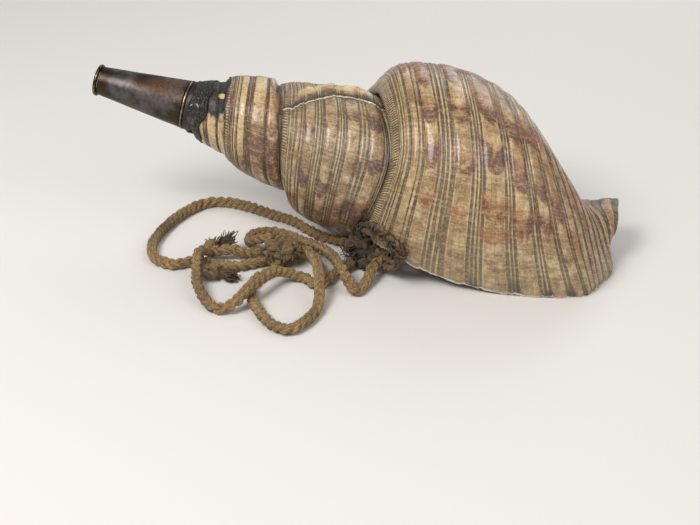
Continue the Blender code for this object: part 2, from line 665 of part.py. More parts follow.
def build_cord(parts, cutters):
    """Cord, knots and tufts, lying on the surface beside the shell."""
    hemp = new_material("hemp", (0.36, 0.24, 0.10), 0.9)
    dark = new_material("dark_hemp", (0.06, 0.045, 0.03), 0.95)
    hitch = lump("hitch", HITCH, dark, parts)
    clearance = add_object("hitch_clearance", shell_form("hitch_clearance"), None, cutters)
    displace = clearance.modifiers.new("Clearance", "DISPLACE")
    displace.mid_level = 0.0
    displace.strength = 2 * SEAT
    cut(hitch, clearance)
    lump("center_knot", CENTER_KNOT, hemp, parts)
    lump("rear_end_knot", REAR_CORD_END, hemp, parts, 8, 12)
    lump("front_end_knot", FRONT_CORD_END, hemp, parts, 8, 12)
    lump("rear_tuft", REAR_TUFT, dark, parts, 8, 14)
    lump("front_tuft", FRONT_TUFT, dark, parts, 8, 14)
    lines = {
        "rear_cord": cord("rear_cord", REAR_ROUTE, HITCH, CENTER_KNOT, hemp, parts),
        "front_cord": cord("front_cord", FRONT_ROUTE, HITCH, CENTER_KNOT, hemp, parts),
        "slack_cord": cord("slack_cord", SLACK_ROUTE, HITCH, CENTER_KNOT, hemp, parts),
        "loop_cord": cord("loop_cord", LOOP_ROUTE, CENTER_KNOT, CENTER_KNOT, hemp, parts),
    }
    names = sorted(lines)
    for i, name in enumerate(names):
        for other in names[i + 1:]:
            gap = least_gap(lines[name], lines[other]) - 2 * CORD_RADIUS
            print(f"{name} to {other}: least gap {gap * 1000:.2f} mm")


def least_gap(line, other):
    """Shortest distance between two centrelines."""
    a = even_points(line, 0.001)[0]
    b = even_points(other, 0.001)[0]
    return float(np.min(np.linalg.norm(a[:, None, :] - b[None, :, :], axis=2)))


def box(name, low, high, collection):
    """Plain box between two corners."""
    form = bmesh.new()
    bmesh.ops.create_cube(form, size=1.0)
    for vertex in form.verts:
        vertex.co = [low[k] + (high[k] - low[k]) * (vertex.co[k] + 0.5) for k in range(3)]
    mesh = bpy.data.meshes.new(name)
    form.to_mesh(mesh)
    form.free()
    return add_object(name, mesh, None, collection)


def main():
    """Build every part of the instrument."""
    for item in list(bpy.data.objects):
        bpy.data.objects.remove(item)
    parts = bpy.data.collections.new("conch_shell_trumpet")
    cutters = bpy.data.collections.new("cutters")
    bpy.context.scene.collection.children.link(parts)
    bpy.context.scene.collection.children.link(cutters)
    build_shell(parts, cutters)
    build_mouthpiece(parts)
    build_pitch(parts)
    build_cord(parts, cutters)


main()
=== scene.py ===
# %% [markdown]
# # A conch shell trumpet
# A triton shell is blown through a sheet brass mouthpiece. The mouthpiece is cemented to the cut tip
# of the shell with black pitch, and a braided hemp cord is tied at the corner of the shell's mouth.
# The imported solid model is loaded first. It is a fixed frame, and each piece made here takes the
# place of one of its solids.

# %% Load the frame
import math

import bmesh
import bpy
import numpy as np
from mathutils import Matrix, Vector


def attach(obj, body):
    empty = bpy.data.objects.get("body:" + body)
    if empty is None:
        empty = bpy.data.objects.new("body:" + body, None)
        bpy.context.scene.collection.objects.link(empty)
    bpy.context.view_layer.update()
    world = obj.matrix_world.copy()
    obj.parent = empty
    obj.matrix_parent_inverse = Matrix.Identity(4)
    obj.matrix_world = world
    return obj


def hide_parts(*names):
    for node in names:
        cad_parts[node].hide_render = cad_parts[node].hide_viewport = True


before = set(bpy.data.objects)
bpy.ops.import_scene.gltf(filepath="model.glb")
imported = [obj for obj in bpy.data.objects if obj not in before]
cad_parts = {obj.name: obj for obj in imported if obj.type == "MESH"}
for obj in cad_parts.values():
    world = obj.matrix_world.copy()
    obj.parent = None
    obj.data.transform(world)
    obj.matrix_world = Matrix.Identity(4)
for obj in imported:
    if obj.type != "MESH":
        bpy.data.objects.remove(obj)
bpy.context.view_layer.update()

# %% [markdown]
# ## The camera
# The camera comes before the pieces. It stands in front of the shell, a little to the right of its
# middle, and looks down by thirty degrees.

# %% Camera
CAMERA_PLACE = (0.1277, -0.8195, 0.457)
CAMERA_TURN = math.radians(9.0)
CAMERA_DIP = math.radians(30.1)
IMAGE_WIDTH = 700
FOCAL_PIXELS = 1227.0
SENSOR_WIDTH = 36.0

lens = bpy.data.cameras.new("studio_camera")
lens.sensor_width = SENSOR_WIDTH
lens.lens = FOCAL_PIXELS / IMAGE_WIDTH * SENSOR_WIDTH
lens.clip_start = 0.01
camera = bpy.data.objects.new("studio_camera", lens)
camera.location = CAMERA_PLACE
camera.rotation_euler = (math.pi / 2 - CAMERA_DIP, 0.0, CAMERA_TURN)
bpy.context.scene.collection.objects.link(camera)
bpy.context.scene.camera = camera
print("camera:", round(lens.lens, 2), "mm lens")

# %% [markdown]
# ## Meshes from grids of points
# Nearly everything here is a sheet or a tube, and both are grids: rows of points, each row joined to
# the next. A small class collects grids, with numbers that the finishes read later: one number for
# each point, or two that run along and round a tube.

# %% Grids of points
CORNER_TURNS = ((0, 0), (0, 1), (1, 1), (1, 0))


class Form:
    """Grids of points that become one mesh."""

    def __init__(self):
        self.points, self.faces, self.runs, self.marks = [], [], [], {}
        self.count = 0

    def grid(self, points, wrap=False, run=None, keep=None, flip=False, **marks):
        """Add a grid. wrap joins its last column to its first, and keep picks faces to make."""
        rows, columns = points.shape[:2]
        index = self.count + np.arange(rows * columns).reshape(rows, columns)
        ahead = np.roll(index, -1, axis=1) if wrap else index[:, 1:]
        here = index if wrap else index[:, :-1]
        faces = np.stack([here[:-1], ahead[:-1], ahead[1:], here[1:]], axis=-1)
        along = np.zeros(rows) if run is None else np.asarray(run)
        places = np.zeros(faces.shape + (2,))
        for corner, (row_step, column_step) in enumerate(CORNER_TURNS):
            first = row_step
            last = rows - 1 + row_step
            places[:, :, corner, 0] = along[first:last, None]
            places[:, :, corner, 1] = (np.arange(faces.shape[1]) + column_step)[None, :] / columns
        chosen = np.ones(faces.shape[:2], dtype=bool) if keep is None else keep
        faces, places = faces[chosen], places[chosen]
        if flip:
            faces, places = faces[:, ::-1], places[:, ::-1]
        self.points.append(points.reshape(-1, 3))
        self.faces.append(faces.reshape(-1, 4))
        self.runs.append(places.reshape(-1, 2))
        for name in sorted(set(self.marks) | set(marks)):
            held = self.marks.setdefault(name, [np.zeros(self.count)])
            value = marks.get(name, 0.0)
            held.append(np.broadcast_to(value, (rows, columns)).reshape(-1))
        self.count += rows * columns

    def build(self, name, finish):
        """One object of every grid, with its loose points taken off."""
        mesh = bpy.data.meshes.new(name)
        faces = np.concatenate(self.faces)
        mesh.from_pydata(np.concatenate(self.points), [], faces.tolist())
        for mark, held in self.marks.items():
            layer = mesh.attributes.new(mark, "FLOAT", "POINT")
            layer.data.foreach_set("value", np.concatenate(held).astype(np.float32))
        runs = np.concatenate(self.runs)
        layer = mesh.attributes.new("run", "FLOAT_VECTOR", "CORNER")
        flat = np.concatenate([runs, np.zeros((len(runs), 1))], axis=1)
        layer.data.foreach_set("vector", flat.astype(np.float32).ravel())
        form = bmesh.new()
        form.from_mesh(mesh)
        loose = [vertex for vertex in form.verts if not vertex.link_faces]
        bmesh.ops.delete(form, geom=loose, context="VERTS")
        form.to_mesh(mesh)
        form.free()
        mesh.materials.append(finish)
        mesh.shade_smooth()
        piece = bpy.data.objects.new(name, mesh)
        bpy.context.scene.collection.objects.link(piece)
        print(f"{name}: {len(mesh.vertices)} points, {len(mesh.polygons)} faces")
        return piece


def install(piece, slot, *nodes):
    """Fix a piece to the instrument, in the place of the solids that it stands for."""
    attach(piece, "root")
    if nodes:
        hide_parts(*nodes)
    return piece


def unit(vectors):
    """The same directions, one long."""
    return vectors / np.linalg.norm(vectors, axis=-1, keepdims=True)


def clamped(values):
    """The same values, held between 0 and 1."""
    return np.clip(values, 0.0, 1.0)


def lifted_to(points, height):
    """The same points, none of them lower than a height."""
    points[..., 2] = np.maximum(points[..., 2], height)
    return points


# %% [markdown]
# ## Finishes written as sums
# A finish is a network of nodes. Writing it as Python sums keeps it readable, so a small class holds
# an output and adds a Math node wherever two of them are added, multiplied or compared. Any other
# kind of node comes from one method, which takes its type, its settings and what its inputs get.

# %% Nodes from Python expressions
class Value:
    """An output of a node that can be used in sums."""

    def __init__(self, finish, socket):
        self.finish, self.socket = finish, socket

    def math(self, operation, *values):
        return self.finish.node("ShaderNodeMath", {"operation": operation}, *values)

    def __add__(self, other):
        return self.math("ADD", self, other)

    def __sub__(self, other):
        return self.math("SUBTRACT", self, other)

    def __rsub__(self, other):
        return self.math("SUBTRACT", other, self)

    def __mul__(self, other):
        return self.math("MULTIPLY", self, other)

    __radd__ = __add__
    __rmul__ = __mul__


class Finish:
    """A material and its nodes."""

    def __init__(self, name, **fixed):
        self.material = bpy.data.materials.new(name)
        self.material.use_nodes = True
        self.tree = self.material.node_tree
        self.shader = self.tree.nodes["Principled BSDF"]
        for socket, value in fixed.items():
            self.shader.inputs[socket.replace("_", " ")].default_value = value

    def node(self, kind, settings, *values, out=0, **named):
        """Any node: its settings first, then the values or links of its inputs."""
        item = self.tree.nodes.new(kind)
        for key, value in settings.items():
            setattr(item, key, value)
        for place, value in list(enumerate(values)) + list(named.items()):
            self.feed(item.inputs[place], value)
        return Value(self, item.outputs[out])

    def feed(self, socket, value):
        if isinstance(value, Value):
            self.tree.links.new(value.socket, socket)
        elif value is not None:
            socket.default_value = value

    def mark(self, name):
        """A number stored on the mesh."""
        return self.node("ShaderNodeAttribute", {"attribute_name": name}, out="Fac")

    def place(self):
        """Where the point is on the instrument, in metres."""
        return self.node("ShaderNodeTexCoord", {}, out="Object")

    def vector(self, x, y, z=0.0):
        return self.node("ShaderNodeCombineXYZ", {}, x, y, z)

    def noise(self, where, scale, detail=3.0, roughness=0.55, warp=0.0):
        return self.node("ShaderNodeTexNoise", {}, Vector=where, Scale=scale, Detail=detail,
                         Roughness=roughness, Distortion=warp, out="Fac")

    def spread(self, where, scale, detail=4.0, roughness=0.6, warp=0.0):
        """Noise that uses the whole range from 0 to 1."""
        return self.step(self.noise(where, scale, detail, roughness, warp), 0.36, 0.64)

    def step(self, value, low, high):
        """0 below low, 1 above high, and a smooth rise between them."""
        return self.node("ShaderNodeMapRange", {"interpolation_type": "SMOOTHSTEP"}, value, low, high)

    def most(self, first, second):
        return self.node("ShaderNodeMath", {"operation": "MAXIMUM"}, first, second)

    def wave(self, value):
        """0 to 1 and back for each whole number."""
        turned = self.node("ShaderNodeMath", {"operation": "COSINE"}, value * (2 * math.pi))
        return 0.5 - turned * 0.5

    def mix(self, share, first, second):
        """A colour between two. The colours are the node's inputs 6 and 7, and its output 2."""
        unused = [None] * 5
        return self.node("ShaderNodeMix", {"data_type": "RGBA"}, share, *unused, first, second, out=2)

    def layers(self, color, *coats):
        """Colours laid over one another, each as (share, colour)."""
        for share, coat in coats:
            color = self.mix(share, color, coat if isinstance(coat, Value) else paint(*coat))
        return color

    def surface(self, color, roughness=None, bump=None, bump_depth=0.0003, metallic=None, coat=None):
        """Connect what was made to the shader."""
        self.feed(self.shader.inputs["Base Color"], color)
        self.feed(self.shader.inputs["Roughness"], roughness)
        self.feed(self.shader.inputs["Metallic"], metallic)
        self.feed(self.shader.inputs["Coat Weight"], coat)
        if bump is not None:
            normal = self.node("ShaderNodeBump", {}, Strength=1.0, Distance=bump_depth, Height=bump,
                               out="Normal")
            self.feed(self.shader.inputs["Normal"], normal)
        return self.material


def paint(red, green, blue):
    """A colour as it is seen, 0 to 255, in the linear numbers that nodes use."""
    shares = [value / 255.0 for value in (red, green, blue)]
    linear = [s / 12.92 if s <= 0.04045 else ((s + 0.055) / 1.055) ** 2.4 for s in shares]
    return (*linear, 1.0)


# %% [markdown]
# ## Hemp
# The cord is plaited from three strands of plain hemp. It is straw coloured where it is clean and brown
# where hands have held it, and each strand shows its own twisted fibres. Where a strand dips in between
# the others, its colour is darkened as painted shade. The fibres are thin slanted lines that follow the
# strand, so they use the numbers that run along and round each tube.

# %% Hemp finish
def make_hemp(name, light, middle, dark, soil):
    """Fibres of one kind of hemp: light on the crowns, painted shade between them, and dark where it is
    soiled.
    """
    finish = Finish(name, Roughness=0.9, Sheen_Weight=0.15, Sheen_Roughness=0.5)
    run = finish.node("ShaderNodeAttribute", {"attribute_name": "run"}, out="Vector")
    along = finish.node("ShaderNodeSeparateXYZ", {}, run, out="X")
    around = finish.node("ShaderNodeSeparateXYZ", {}, run, out="Y")
    where = finish.place()
    wander = finish.noise(where, 240.0, 2.0)
    fibre = finish.wave(around * 6.0 + along * 150.0 + wander * 3.2)
    strand = finish.spread(finish.vector(along * 70.0, around * 14.0), 2.0, 4.0, 0.7)
    patch = finish.noise(where, 27.0, 4.0, 0.65)
    fine = finish.noise(where, 850.0, 3.0, 0.7)
    crown = finish.mark("crown")
    dirt = finish.most(finish.step(patch, 0.47, 0.66) * soil, finish.mark("soil"))
    color = finish.layers(
        finish.mix(strand * 0.8, paint(*middle), paint(*light)),
        (dirt * (0.55 + strand * 0.6), dark),
        ((1 - fibre) * 0.5, dark),
        # Painted shade: a strand is darkened where its crown is low, where it dips in between the others
        ((1 - crown) * 0.85, dark),
        (finish.step(fine, 0.56, 0.74) * 0.35, light),
    )
    bump = fibre * 0.9 + strand * 0.8 + fine * 0.5
    return finish.surface(color, bump=bump, bump_depth=0.0007)


hemp = make_hemp("hemp", (236, 198, 132), (178, 136, 78), (72, 48, 27), 0.42)
dark_hemp = make_hemp("dark_hemp", (206, 162, 102), (126, 94, 56), (40, 32, 23), 0.45)
print("hemp finishes:", hemp.name, dark_hemp.name)

# %% [markdown]
# ## Where the cord lies
# Two tails leave the tie at the shell's mouth, make one large and one small loop on the table, and meet
# in the centre knot. A third, slack one runs beside them, and a loop leaves the knot and comes back to
# it. The routes are the ones that the solid cords follow, in metres, so the plaits lie where the solids
# are. A simulated rope would fall where it liked, so the points are listed.

# %% Routes of the cord
SEAT = 0.0003
CORD_RADIUS = 0.0040
CORD_LIE = CORD_RADIUS + SEAT
CORD_HUMP = 3 * CORD_RADIUS + 5 * SEAT
ROUTE_SAMPLES = 24
LINE_STEP = 0.001
# How far a plait runs on into the lumps at its ends
PLAIT_ENTRY = 0.004
# Lumps of tied cord, as (centre, half sizes, strands that show, depth between them)
HITCH = ((0.0190, -0.0420, 0.0125), (0.0190, 0.0135, 0.0122), 4, 0.07)
CENTER_KNOT = ((-0.0450, -0.0490, 0.0103), (0.0145, 0.0135, 0.0100), 6, 0.07)
REAR_CORD_END = ((-0.1003, -0.0460, 0.0062), (0.0056, 0.0090, 0.0060), 5, 0.05)
FRONT_CORD_END = ((-0.0918, -0.0800, 0.0062), (0.0066, 0.0080, 0.0058), 5, 0.05)
LOW, MID, HIGH = CORD_LIE, 0.0090, CORD_HUMP
REAR_ROUTE = (
    (0.0150, -0.0350, 0.0120), (0.0010, -0.0250, MID), (-0.0110, -0.0160, LOW),
    (-0.0220, -0.0120, LOW), (-0.0340, -0.0030, LOW), (-0.0500, 0.0100, LOW),
    (-0.0660, 0.0170, LOW), (-0.0900, 0.0280, LOW), (-0.1100, 0.0320, LOW),
    (-0.1260, 0.0260, LOW), (-0.1380, 0.0050, LOW), (-0.1450, -0.0230, LOW),
    (-0.1460, -0.0460, LOW), (-0.1380, -0.0640, LOW), (-0.1230, -0.0710, LOW),
    (-0.1120, -0.0660, LOW), (-0.1010, -0.0640, LOW), (-0.0870, -0.0670, LOW),
    (-0.0730, -0.0650, LOW), (-0.0610, -0.0580, LOW), (-0.0450, -0.0510, MID),
)
FRONT_ROUTE = (
    (0.0270, -0.0400, 0.0120), (0.0180, -0.0430, 0.0100), (0.0100, -0.0480, MID),
    (0.0030, -0.0570, LOW), (-0.0030, -0.0660, LOW), (-0.0080, -0.0770, LOW),
    (-0.0140, -0.0820, LOW), (-0.0210, -0.0760, LOW), (-0.0280, -0.0730, LOW),
    (-0.0380, -0.0770, MID), (-0.0450, -0.0850, HIGH), (-0.0505, -0.0970, HIGH),
    (-0.0560, -0.1090, HIGH), (-0.0620, -0.1200, MID), (-0.0720, -0.1250, LOW),
    (-0.0820, -0.1210, LOW), (-0.0940, -0.1060, MID), (-0.1000, -0.0880, MID),
    (-0.1030, -0.0730, HIGH), (-0.1010, -0.0630, HIGH), (-0.0940, -0.0550, MID),
    (-0.0830, -0.0510, MID), (-0.0700, -0.0470, LOW), (-0.0580, -0.0450, LOW),
    (-0.0450, -0.0470, MID),
)
SLACK_ROUTE = (
    (0.0290, -0.0510, 0.0120), (0.0240, -0.0620, MID), (0.0210, -0.0750, LOW),
    (0.0160, -0.0870, LOW), (0.0100, -0.0840, MID), (0.0030, -0.0730, HIGH),
    (-0.0020, -0.0640, HIGH), (-0.0080, -0.0540, HIGH), (-0.0200, -0.0370, MID),
    (-0.0350, -0.0220, LOW), (-0.0520, -0.0120, LOW), (-0.0670, -0.0110, LOW),
    (-0.0750, -0.0180, LOW), (-0.0755, -0.0280, LOW), (-0.0695, -0.0345, MID),
    (-0.0590, -0.0380, HIGH), (-0.0450, -0.0430, HIGH),
)
LOOP_ROUTE = (
    (-0.0450, -0.0470, MID), (-0.0300, -0.0430, MID), (-0.0220, -0.0510, MID),
    (-0.0170, -0.0640, HIGH), (-0.0125, -0.0780, HIGH), (-0.0090, -0.0920, HIGH),
    (-0.0070, -0.1140, LOW), (-0.0130, -0.1340, LOW), (-0.0220, -0.1430, LOW),
    (-0.0340, -0.1380, LOW), (-0.0450, -0.1250, LOW), (-0.0540, -0.1090, LOW),
    (-0.0585, -0.0950, LOW), (-0.0570, -0.0810, LOW), (-0.0490, -0.0690, LOW),
    (-0.0440, -0.0550, MID),
)


def lump_surface(shape, place):
    """Share of a lump's half sizes that its surface reaches in the direction of a place."""
    centre, half, strands, depth = shape
    x, y, z = (np.array(place) - centre) / half
    rise = z / math.sqrt(x * x + y * y + z * z)
    wave = math.sin(strands * math.atan2(y, x) + 4.0 * rise)
    return 1.0 - depth * (0.5 + 0.5 * wave) * (1.0 - rise * rise)


def smooth_route(route):
    """Points of a smooth curve through a route's own points."""
    route = [np.array(p) for p in route]
    route = [2 * route[0] - route[1]] + route + [2 * route[-1] - route[-2]]
    points = []
    for before, a, b, after in zip(route, route[1:], route[2:], route[3:]):
        for k in range(ROUTE_SAMPLES):
            t = k / ROUTE_SAMPLES
            points.append(0.5 * (2 * a + (b - before) * t
                                 + (2 * before - 5 * a + 4 * b - after) * t**2
                                 + (3 * a - before - 3 * b + after) * t**3))
    points.append(route[-2])
    return [np.array([x, y, max(z, CORD_LIE)]) for x, y, z in points]


def trim_route(points, start, end, depth):
    """Take off what lies deeper than depth inside the lumps at a cord's two ends."""
    def inside(point, shape):
        share = np.linalg.norm((point - shape[0]) / (np.array(shape[1]) + CORD_RADIUS - depth))
        return share < lump_surface(shape, point)
    middle = len(points) // 2
    first = max(i for i in range(middle) if i == 0 or inside(points[i], start)) + 1
    last = min(i for i in range(middle, len(points)) if i == len(points) - 1 or inside(points[i], end))
    return points[first:last]


def even_points(points, step):
    """The same line with points at one even step along it."""
    points = np.array(points)
    along = np.concatenate(([0.0], np.cumsum(np.linalg.norm(np.diff(points, axis=0), axis=1))))
    count = max(2, int(round(along[-1] / step)) + 1)
    places = np.linspace(0.0, along[-1], count)
    even = np.array([np.interp(places, along, points[:, k]) for k in range(3)]).T
    return even, places


routes = {
    "rear_cord": (REAR_ROUTE, HITCH, CENTER_KNOT),
    "front_cord": (FRONT_ROUTE, HITCH, CENTER_KNOT),
    "slack_cord": (SLACK_ROUTE, HITCH, CENTER_KNOT),
    "loop_cord": (LOOP_ROUTE, CENTER_KNOT, CENTER_KNOT),
}
lines = {}
for cord_name, (route, start, end) in routes.items():
    trimmed = trim_route(smooth_route(route), start, end, PLAIT_ENTRY)
    lines[cord_name] = even_points(trimmed, LINE_STEP)
    print(f"{cord_name}: {lines[cord_name][1][-1]:.3f} m")

# %% [markdown]
# ## A plait of three strands
# In a plait each strand swings from side to side and, twice as fast, up and down, and the three
# follow each other a third of a swing apart. That is all a plait is, so it can be written as two
# waves round the cord's own line. A radius that wanders a little, and a few broken fibres that
# stand off, keep it from looking moulded.

# %% Plaited strands
PLAIT_SWING = 0.0018
PLAIT_RISE = 0.0016
PLAIT_LENGTH = 0.0185
STRAND_RADIUS = 0.00215
STRAND_SIDES = 12
# How far a strand swings out of the cord at most, and the height of the lowest strands
STRAND_REACH = 0.0024
PLAIT_FLOOR = 0.0002
FIBRE_THICKNESS = 0.00016
FIBRES_PER_METRE = 3000
FIBRE_ROOT = 0.0036
FIBRE_LEAN = 1.1
FIBRE_BEND = 0.25
FIBRE_REACH = 0.0026
# Dark stretches of the cord, as (x, y, reach, strength)
SOILED = (
    (-0.142, -0.022, 0.020, 0.75), (-0.068, -0.020, 0.012, 0.6), (-0.092, -0.112, 0.012, 0.5),
    (-0.045, -0.052, 0.016, 0.6), (0.010, -0.046, 0.018, 0.8), (-0.058, -0.095, 0.010, 0.5),
    (-0.075, 0.022, 0.014, 0.4), (-0.105, -0.066, 0.008, 0.4), (-0.030, -0.141, 0.010, 0.35),
)
rng = np.random.default_rng(11)


def frames_along(points):
    """Direction, side and lift at each point of a line."""
    ahead = unit(np.gradient(points, axis=0))
    side = unit(np.cross(ahead, np.broadcast_to((0.0, 0.0, 1.0), ahead.shape)))
    return ahead, side, np.cross(side, ahead)


def carried_frames(points):
    """Frames that turn with a line and never flip, also where it stands up."""
    ahead = unit(np.gradient(points, axis=0))
    side = np.zeros_like(ahead)
    last = np.cross(ahead[0], (0.31, 0.53, 0.79))
    for k, way in enumerate(ahead):
        last = unit(last - way * (last @ way))
        side[k] = last
    return ahead, side, np.cross(side, ahead)


def rings_round(points, radius, side, lift, sides):
    """A ring of points round each point of a line."""
    turns = 2 * math.pi * np.arange(sides) / sides
    return points[:, None, :] + radius * (side[:, None, :] * np.cos(turns)[None, :, None]
                                          + lift[:, None, :] * np.sin(turns)[None, :, None])


def add_tube(form, points, radius, sides=STRAND_SIDES, run=None, crown=1.0, soil=0.0, rest=None,
             frames=frames_along):
    """Tube round a line. rest is the height of a surface that flattens it."""
    _, side, lift = frames(points)
    radius = np.broadcast_to(radius, len(points))[:, None, None]
    rings = rings_round(points, radius, side, lift, sides)
    if rest is not None:
        lifted_to(rings, rest)
    form.grid(rings, wrap=True, run=run, flip=True, crown=crown, soil=soil)


def soiled(points):
    """How dark each point of a cord is where hands have held it."""
    dark = np.zeros(len(points))
    for x, y, reach, strength in SOILED:
        away = np.hypot(points[:, 0] - x, points[:, 1] - y)
        dark = np.maximum(dark, strength * np.exp(-((away / reach) ** 2)))
    return dark


def add_plait(form, points, along, size=1.0, phase=0.0):
    """Three strands plaited round a line."""
    _, side, lift = frames_along(points)
    drift = 0.55 * np.sin(along * 57.0 + phase) + 0.35 * np.sin(along * 139.0 + 2.0 * phase)
    for strand in range(3):
        turn = 2 * math.pi * (along / (PLAIT_LENGTH * size) + strand / 3.0) + phase + drift
        wander = 1.0 + 0.13 * np.sin(along * 310.0 + strand * 2.1) + 0.10 * np.sin(along * 743.0 + strand)
        swing = size * PLAIT_SWING * np.sin(turn)
        rise = size * PLAIT_RISE * np.sin(2 * turn)
        line = points + side * swing[:, None] + lift * rise[:, None]
        radius = size * STRAND_RADIUS * wander
        turns = 2 * math.pi * np.arange(STRAND_SIDES) / STRAND_SIDES
        outward = (swing[:, None] * np.cos(turns) + rise[:, None] * np.sin(turns)) / (size * STRAND_REACH)
        # crown is low where the strand dips into the cord, and the finish paints it darker there as shade
        crown = clamped(0.70 + 0.60 * outward)
        add_tube(form, line, radius, run=along + strand * 0.31, crown=crown, soil=soiled(points)[:, None],
                 rest=PLAIT_FLOOR)


def add_yarn(form, start, ahead, length, thick, curl, soil=0.0):
    """A loose yarn that curls as it leaves its knot and thins out towards its end."""
    shares = np.linspace(0.0, 1.0, max(8, int(length / 0.0008)))
    ahead = unit(np.array(ahead, dtype=float))
    side = unit(np.cross(ahead, (0.21, 0.37, 0.90)))
    lift = np.cross(side, ahead)
    phase, tempo = rng.uniform(0.0, 2 * math.pi), rng.uniform(0.7, 1.8)
    angle = phase + 2 * math.pi * tempo * shares
    swing = curl * shares[:, None]
    line = np.array(start) + ahead * (length * shares)[:, None]
    line = line + swing * (side * np.cos(angle)[:, None] + lift * np.sin(angle)[:, None])
    lifted_to(line, thick + SEAT)
    radius = thick * (1.0 - 0.6 * shares**2) * (1.0 + 0.15 * np.sin(shares * 23.0 + phase))
    add_tube(form, line, radius, 6, run=shares * length + phase, crown=rng.uniform(0.55, 1.0), soil=soil,
             frames=carried_frames)


def add_fibres(form, points, count, reach):
    """Broken fibres that stand off a cord."""
    ahead, side, lift = frames_along(points)
    for _ in range(count):
        i = int(rng.integers(0, len(points)))
        turn = rng.uniform(-0.4, math.pi + 0.4)
        outward = side[i] * math.cos(turn) + lift[i] * math.sin(turn)
        root = points[i] + outward * FIBRE_ROOT * rng.uniform(0.55, 0.95)
        sway = ahead[i] * rng.normal(0.0, FIBRE_LEAN) + outward * rng.uniform(0.4, 1.0)
        tip = root + unit(sway) * reach * rng.uniform(0.4, 1.0)
        add_bristle(form, root, tip)


def add_bristle(form, root, tip):
    """One tapered fibre from root to tip, a little bent."""
    shares = np.linspace(0.0, 1.0, 4)
    line = root[None, :] + (tip - root)[None, :] * shares[:, None]
    away = rng.normal(0.0, 1.0, 3) * np.linalg.norm(tip - root) * FIBRE_BEND
    line = lifted_to(line + away[None, :] * (shares * shares)[:, None], FIBRE_THICKNESS)
    ahead = unit(np.gradient(line, axis=0))
    side = unit(np.cross(ahead, (0.31, 0.53, 0.79)))
    lift = np.cross(side, ahead)
    size = FIBRE_THICKNESS * (1.0 - 0.85 * shares)[:, None, None]
    rings = rings_round(line, size, side, lift, 3)
    tint = rng.uniform(0.45, 1.0)
    form.grid(rings, wrap=True, run=shares * 0.01 + rng.uniform(), flip=True, crown=tint)


for cord_name, (points, along) in lines.items():
    form = Form()
    add_plait(form, points, along, phase=rng.uniform(0.0, 6.0))
    add_fibres(form, points, int(along[-1] * FIBRES_PER_METRE), FIBRE_REACH)
    install(form.build(cord_name + "_plait", hemp), "hemp", cord_name)

# %% [markdown]
# ## Knots and tufts
# The centre knot is tied tight, so two plaits follow closed lines of three and five lobes, squeezed
# into the space of the solid knot. The tie at the shell is made in the same way from darker, worn and
# frayed hemp. Each end of the cord is whipped with a few turns and finishes in a tuft of stiff fibres.

# %% Knots
KNOT_MARGIN = 0.0034
KNOT_FIBRES = 420
KNOT_FIBRE_REACH = 0.0028
WHIPPING_THICKNESS = 0.0012
WHIPPING_TURNS = 6
TUFT_YARNS = 90
TUFT_THICKNESS = 0.00062


def knot_line(shape, lobes, twist):
    """Closed line of a tight knot inside a lump."""
    centre, half = np.array(shape[0]), np.array(shape[1]) - KNOT_MARGIN
    t = np.linspace(0.0, 2 * math.pi, 600)
    reach = (2.0 + np.cos(lobes * t)) / 3.0
    points = np.stack([reach * np.cos(2 * t + twist), reach * np.sin(2 * t + twist),
                       np.sin(lobes * t) * 0.9], axis=1)
    return even_points(centre + half * points, LINE_STEP)


def add_whipping(form, shape, axis):
    """Turns of thin line wound side by side round a lump."""
    centre, half = np.array(shape[0]), np.array(shape[1])
    t = np.linspace(0.0, 1.0, WHIPPING_TURNS * 24 + 1)
    place = 1.6 * t - 0.8
    reach = np.sqrt(1.0 - place**2)
    other = (axis + 1) % 3, (axis + 2) % 3
    points = np.zeros((len(t), 3))
    points[:, axis] = place
    points[:, other[0]] = reach * np.cos(2 * math.pi * WHIPPING_TURNS * t)
    points[:, other[1]] = reach * np.sin(2 * math.pi * WHIPPING_TURNS * t)
    points = centre + (half - WHIPPING_THICKNESS) * points
    along = np.concatenate(([0.0], np.cumsum(np.linalg.norm(np.diff(points, axis=0), axis=1))))
    ring_up = np.zeros(3)
    ring_up[axis] = 1.0
    ahead = unit(np.gradient(points, axis=0))
    side = unit(np.cross(ahead, np.broadcast_to(ring_up, ahead.shape)))
    lift = np.cross(side, ahead)
    rings = lifted_to(rings_round(points, WHIPPING_THICKNESS, side, lift, 8), PLAIT_FLOOR)
    form.grid(rings, wrap=True, run=along, flip=True, crown=0.9)


def add_ball(form, shape, size, crown=0.25):
    """Core of a lump, which closes the gaps between what is wound on it, darkened by its low crown as
    painted shade in those gaps.
    """
    centre, half = np.array(shape[0]), np.array(shape[1]) * size
    rise = np.linspace(-math.pi / 2 + 0.01, math.pi / 2 - 0.01, 13)
    turn = 2 * math.pi * np.arange(24) / 24
    ball = np.stack([np.cos(rise)[:, None] * np.cos(turn), np.cos(rise)[:, None] * np.sin(turn),
                     np.broadcast_to(np.sin(rise)[:, None], (13, 24))], axis=-1)
    # A low crown paints the core dark, as shade in the gaps of the lump
    form.grid(centre + half * ball, wrap=True, run=rise, crown=crown)


def add_tuft(form, start, middle, spread):
    """Stiff ends of yarn that spread from where they are tied towards a middle."""
    start, way = np.array(start), np.array(middle) - np.array(start)
    for _ in range(TUFT_YARNS):
        aside = rng.normal(0.0, 1.0, 3) * spread
        root = start + aside * 0.30
        tip = start + way * rng.uniform(0.7, 1.15) + aside
        add_yarn(form, root, tip - root, float(np.linalg.norm(tip - root)),
                 TUFT_THICKNESS * rng.uniform(0.7, 1.3), 0.0008, rng.uniform(0.0, 0.35))


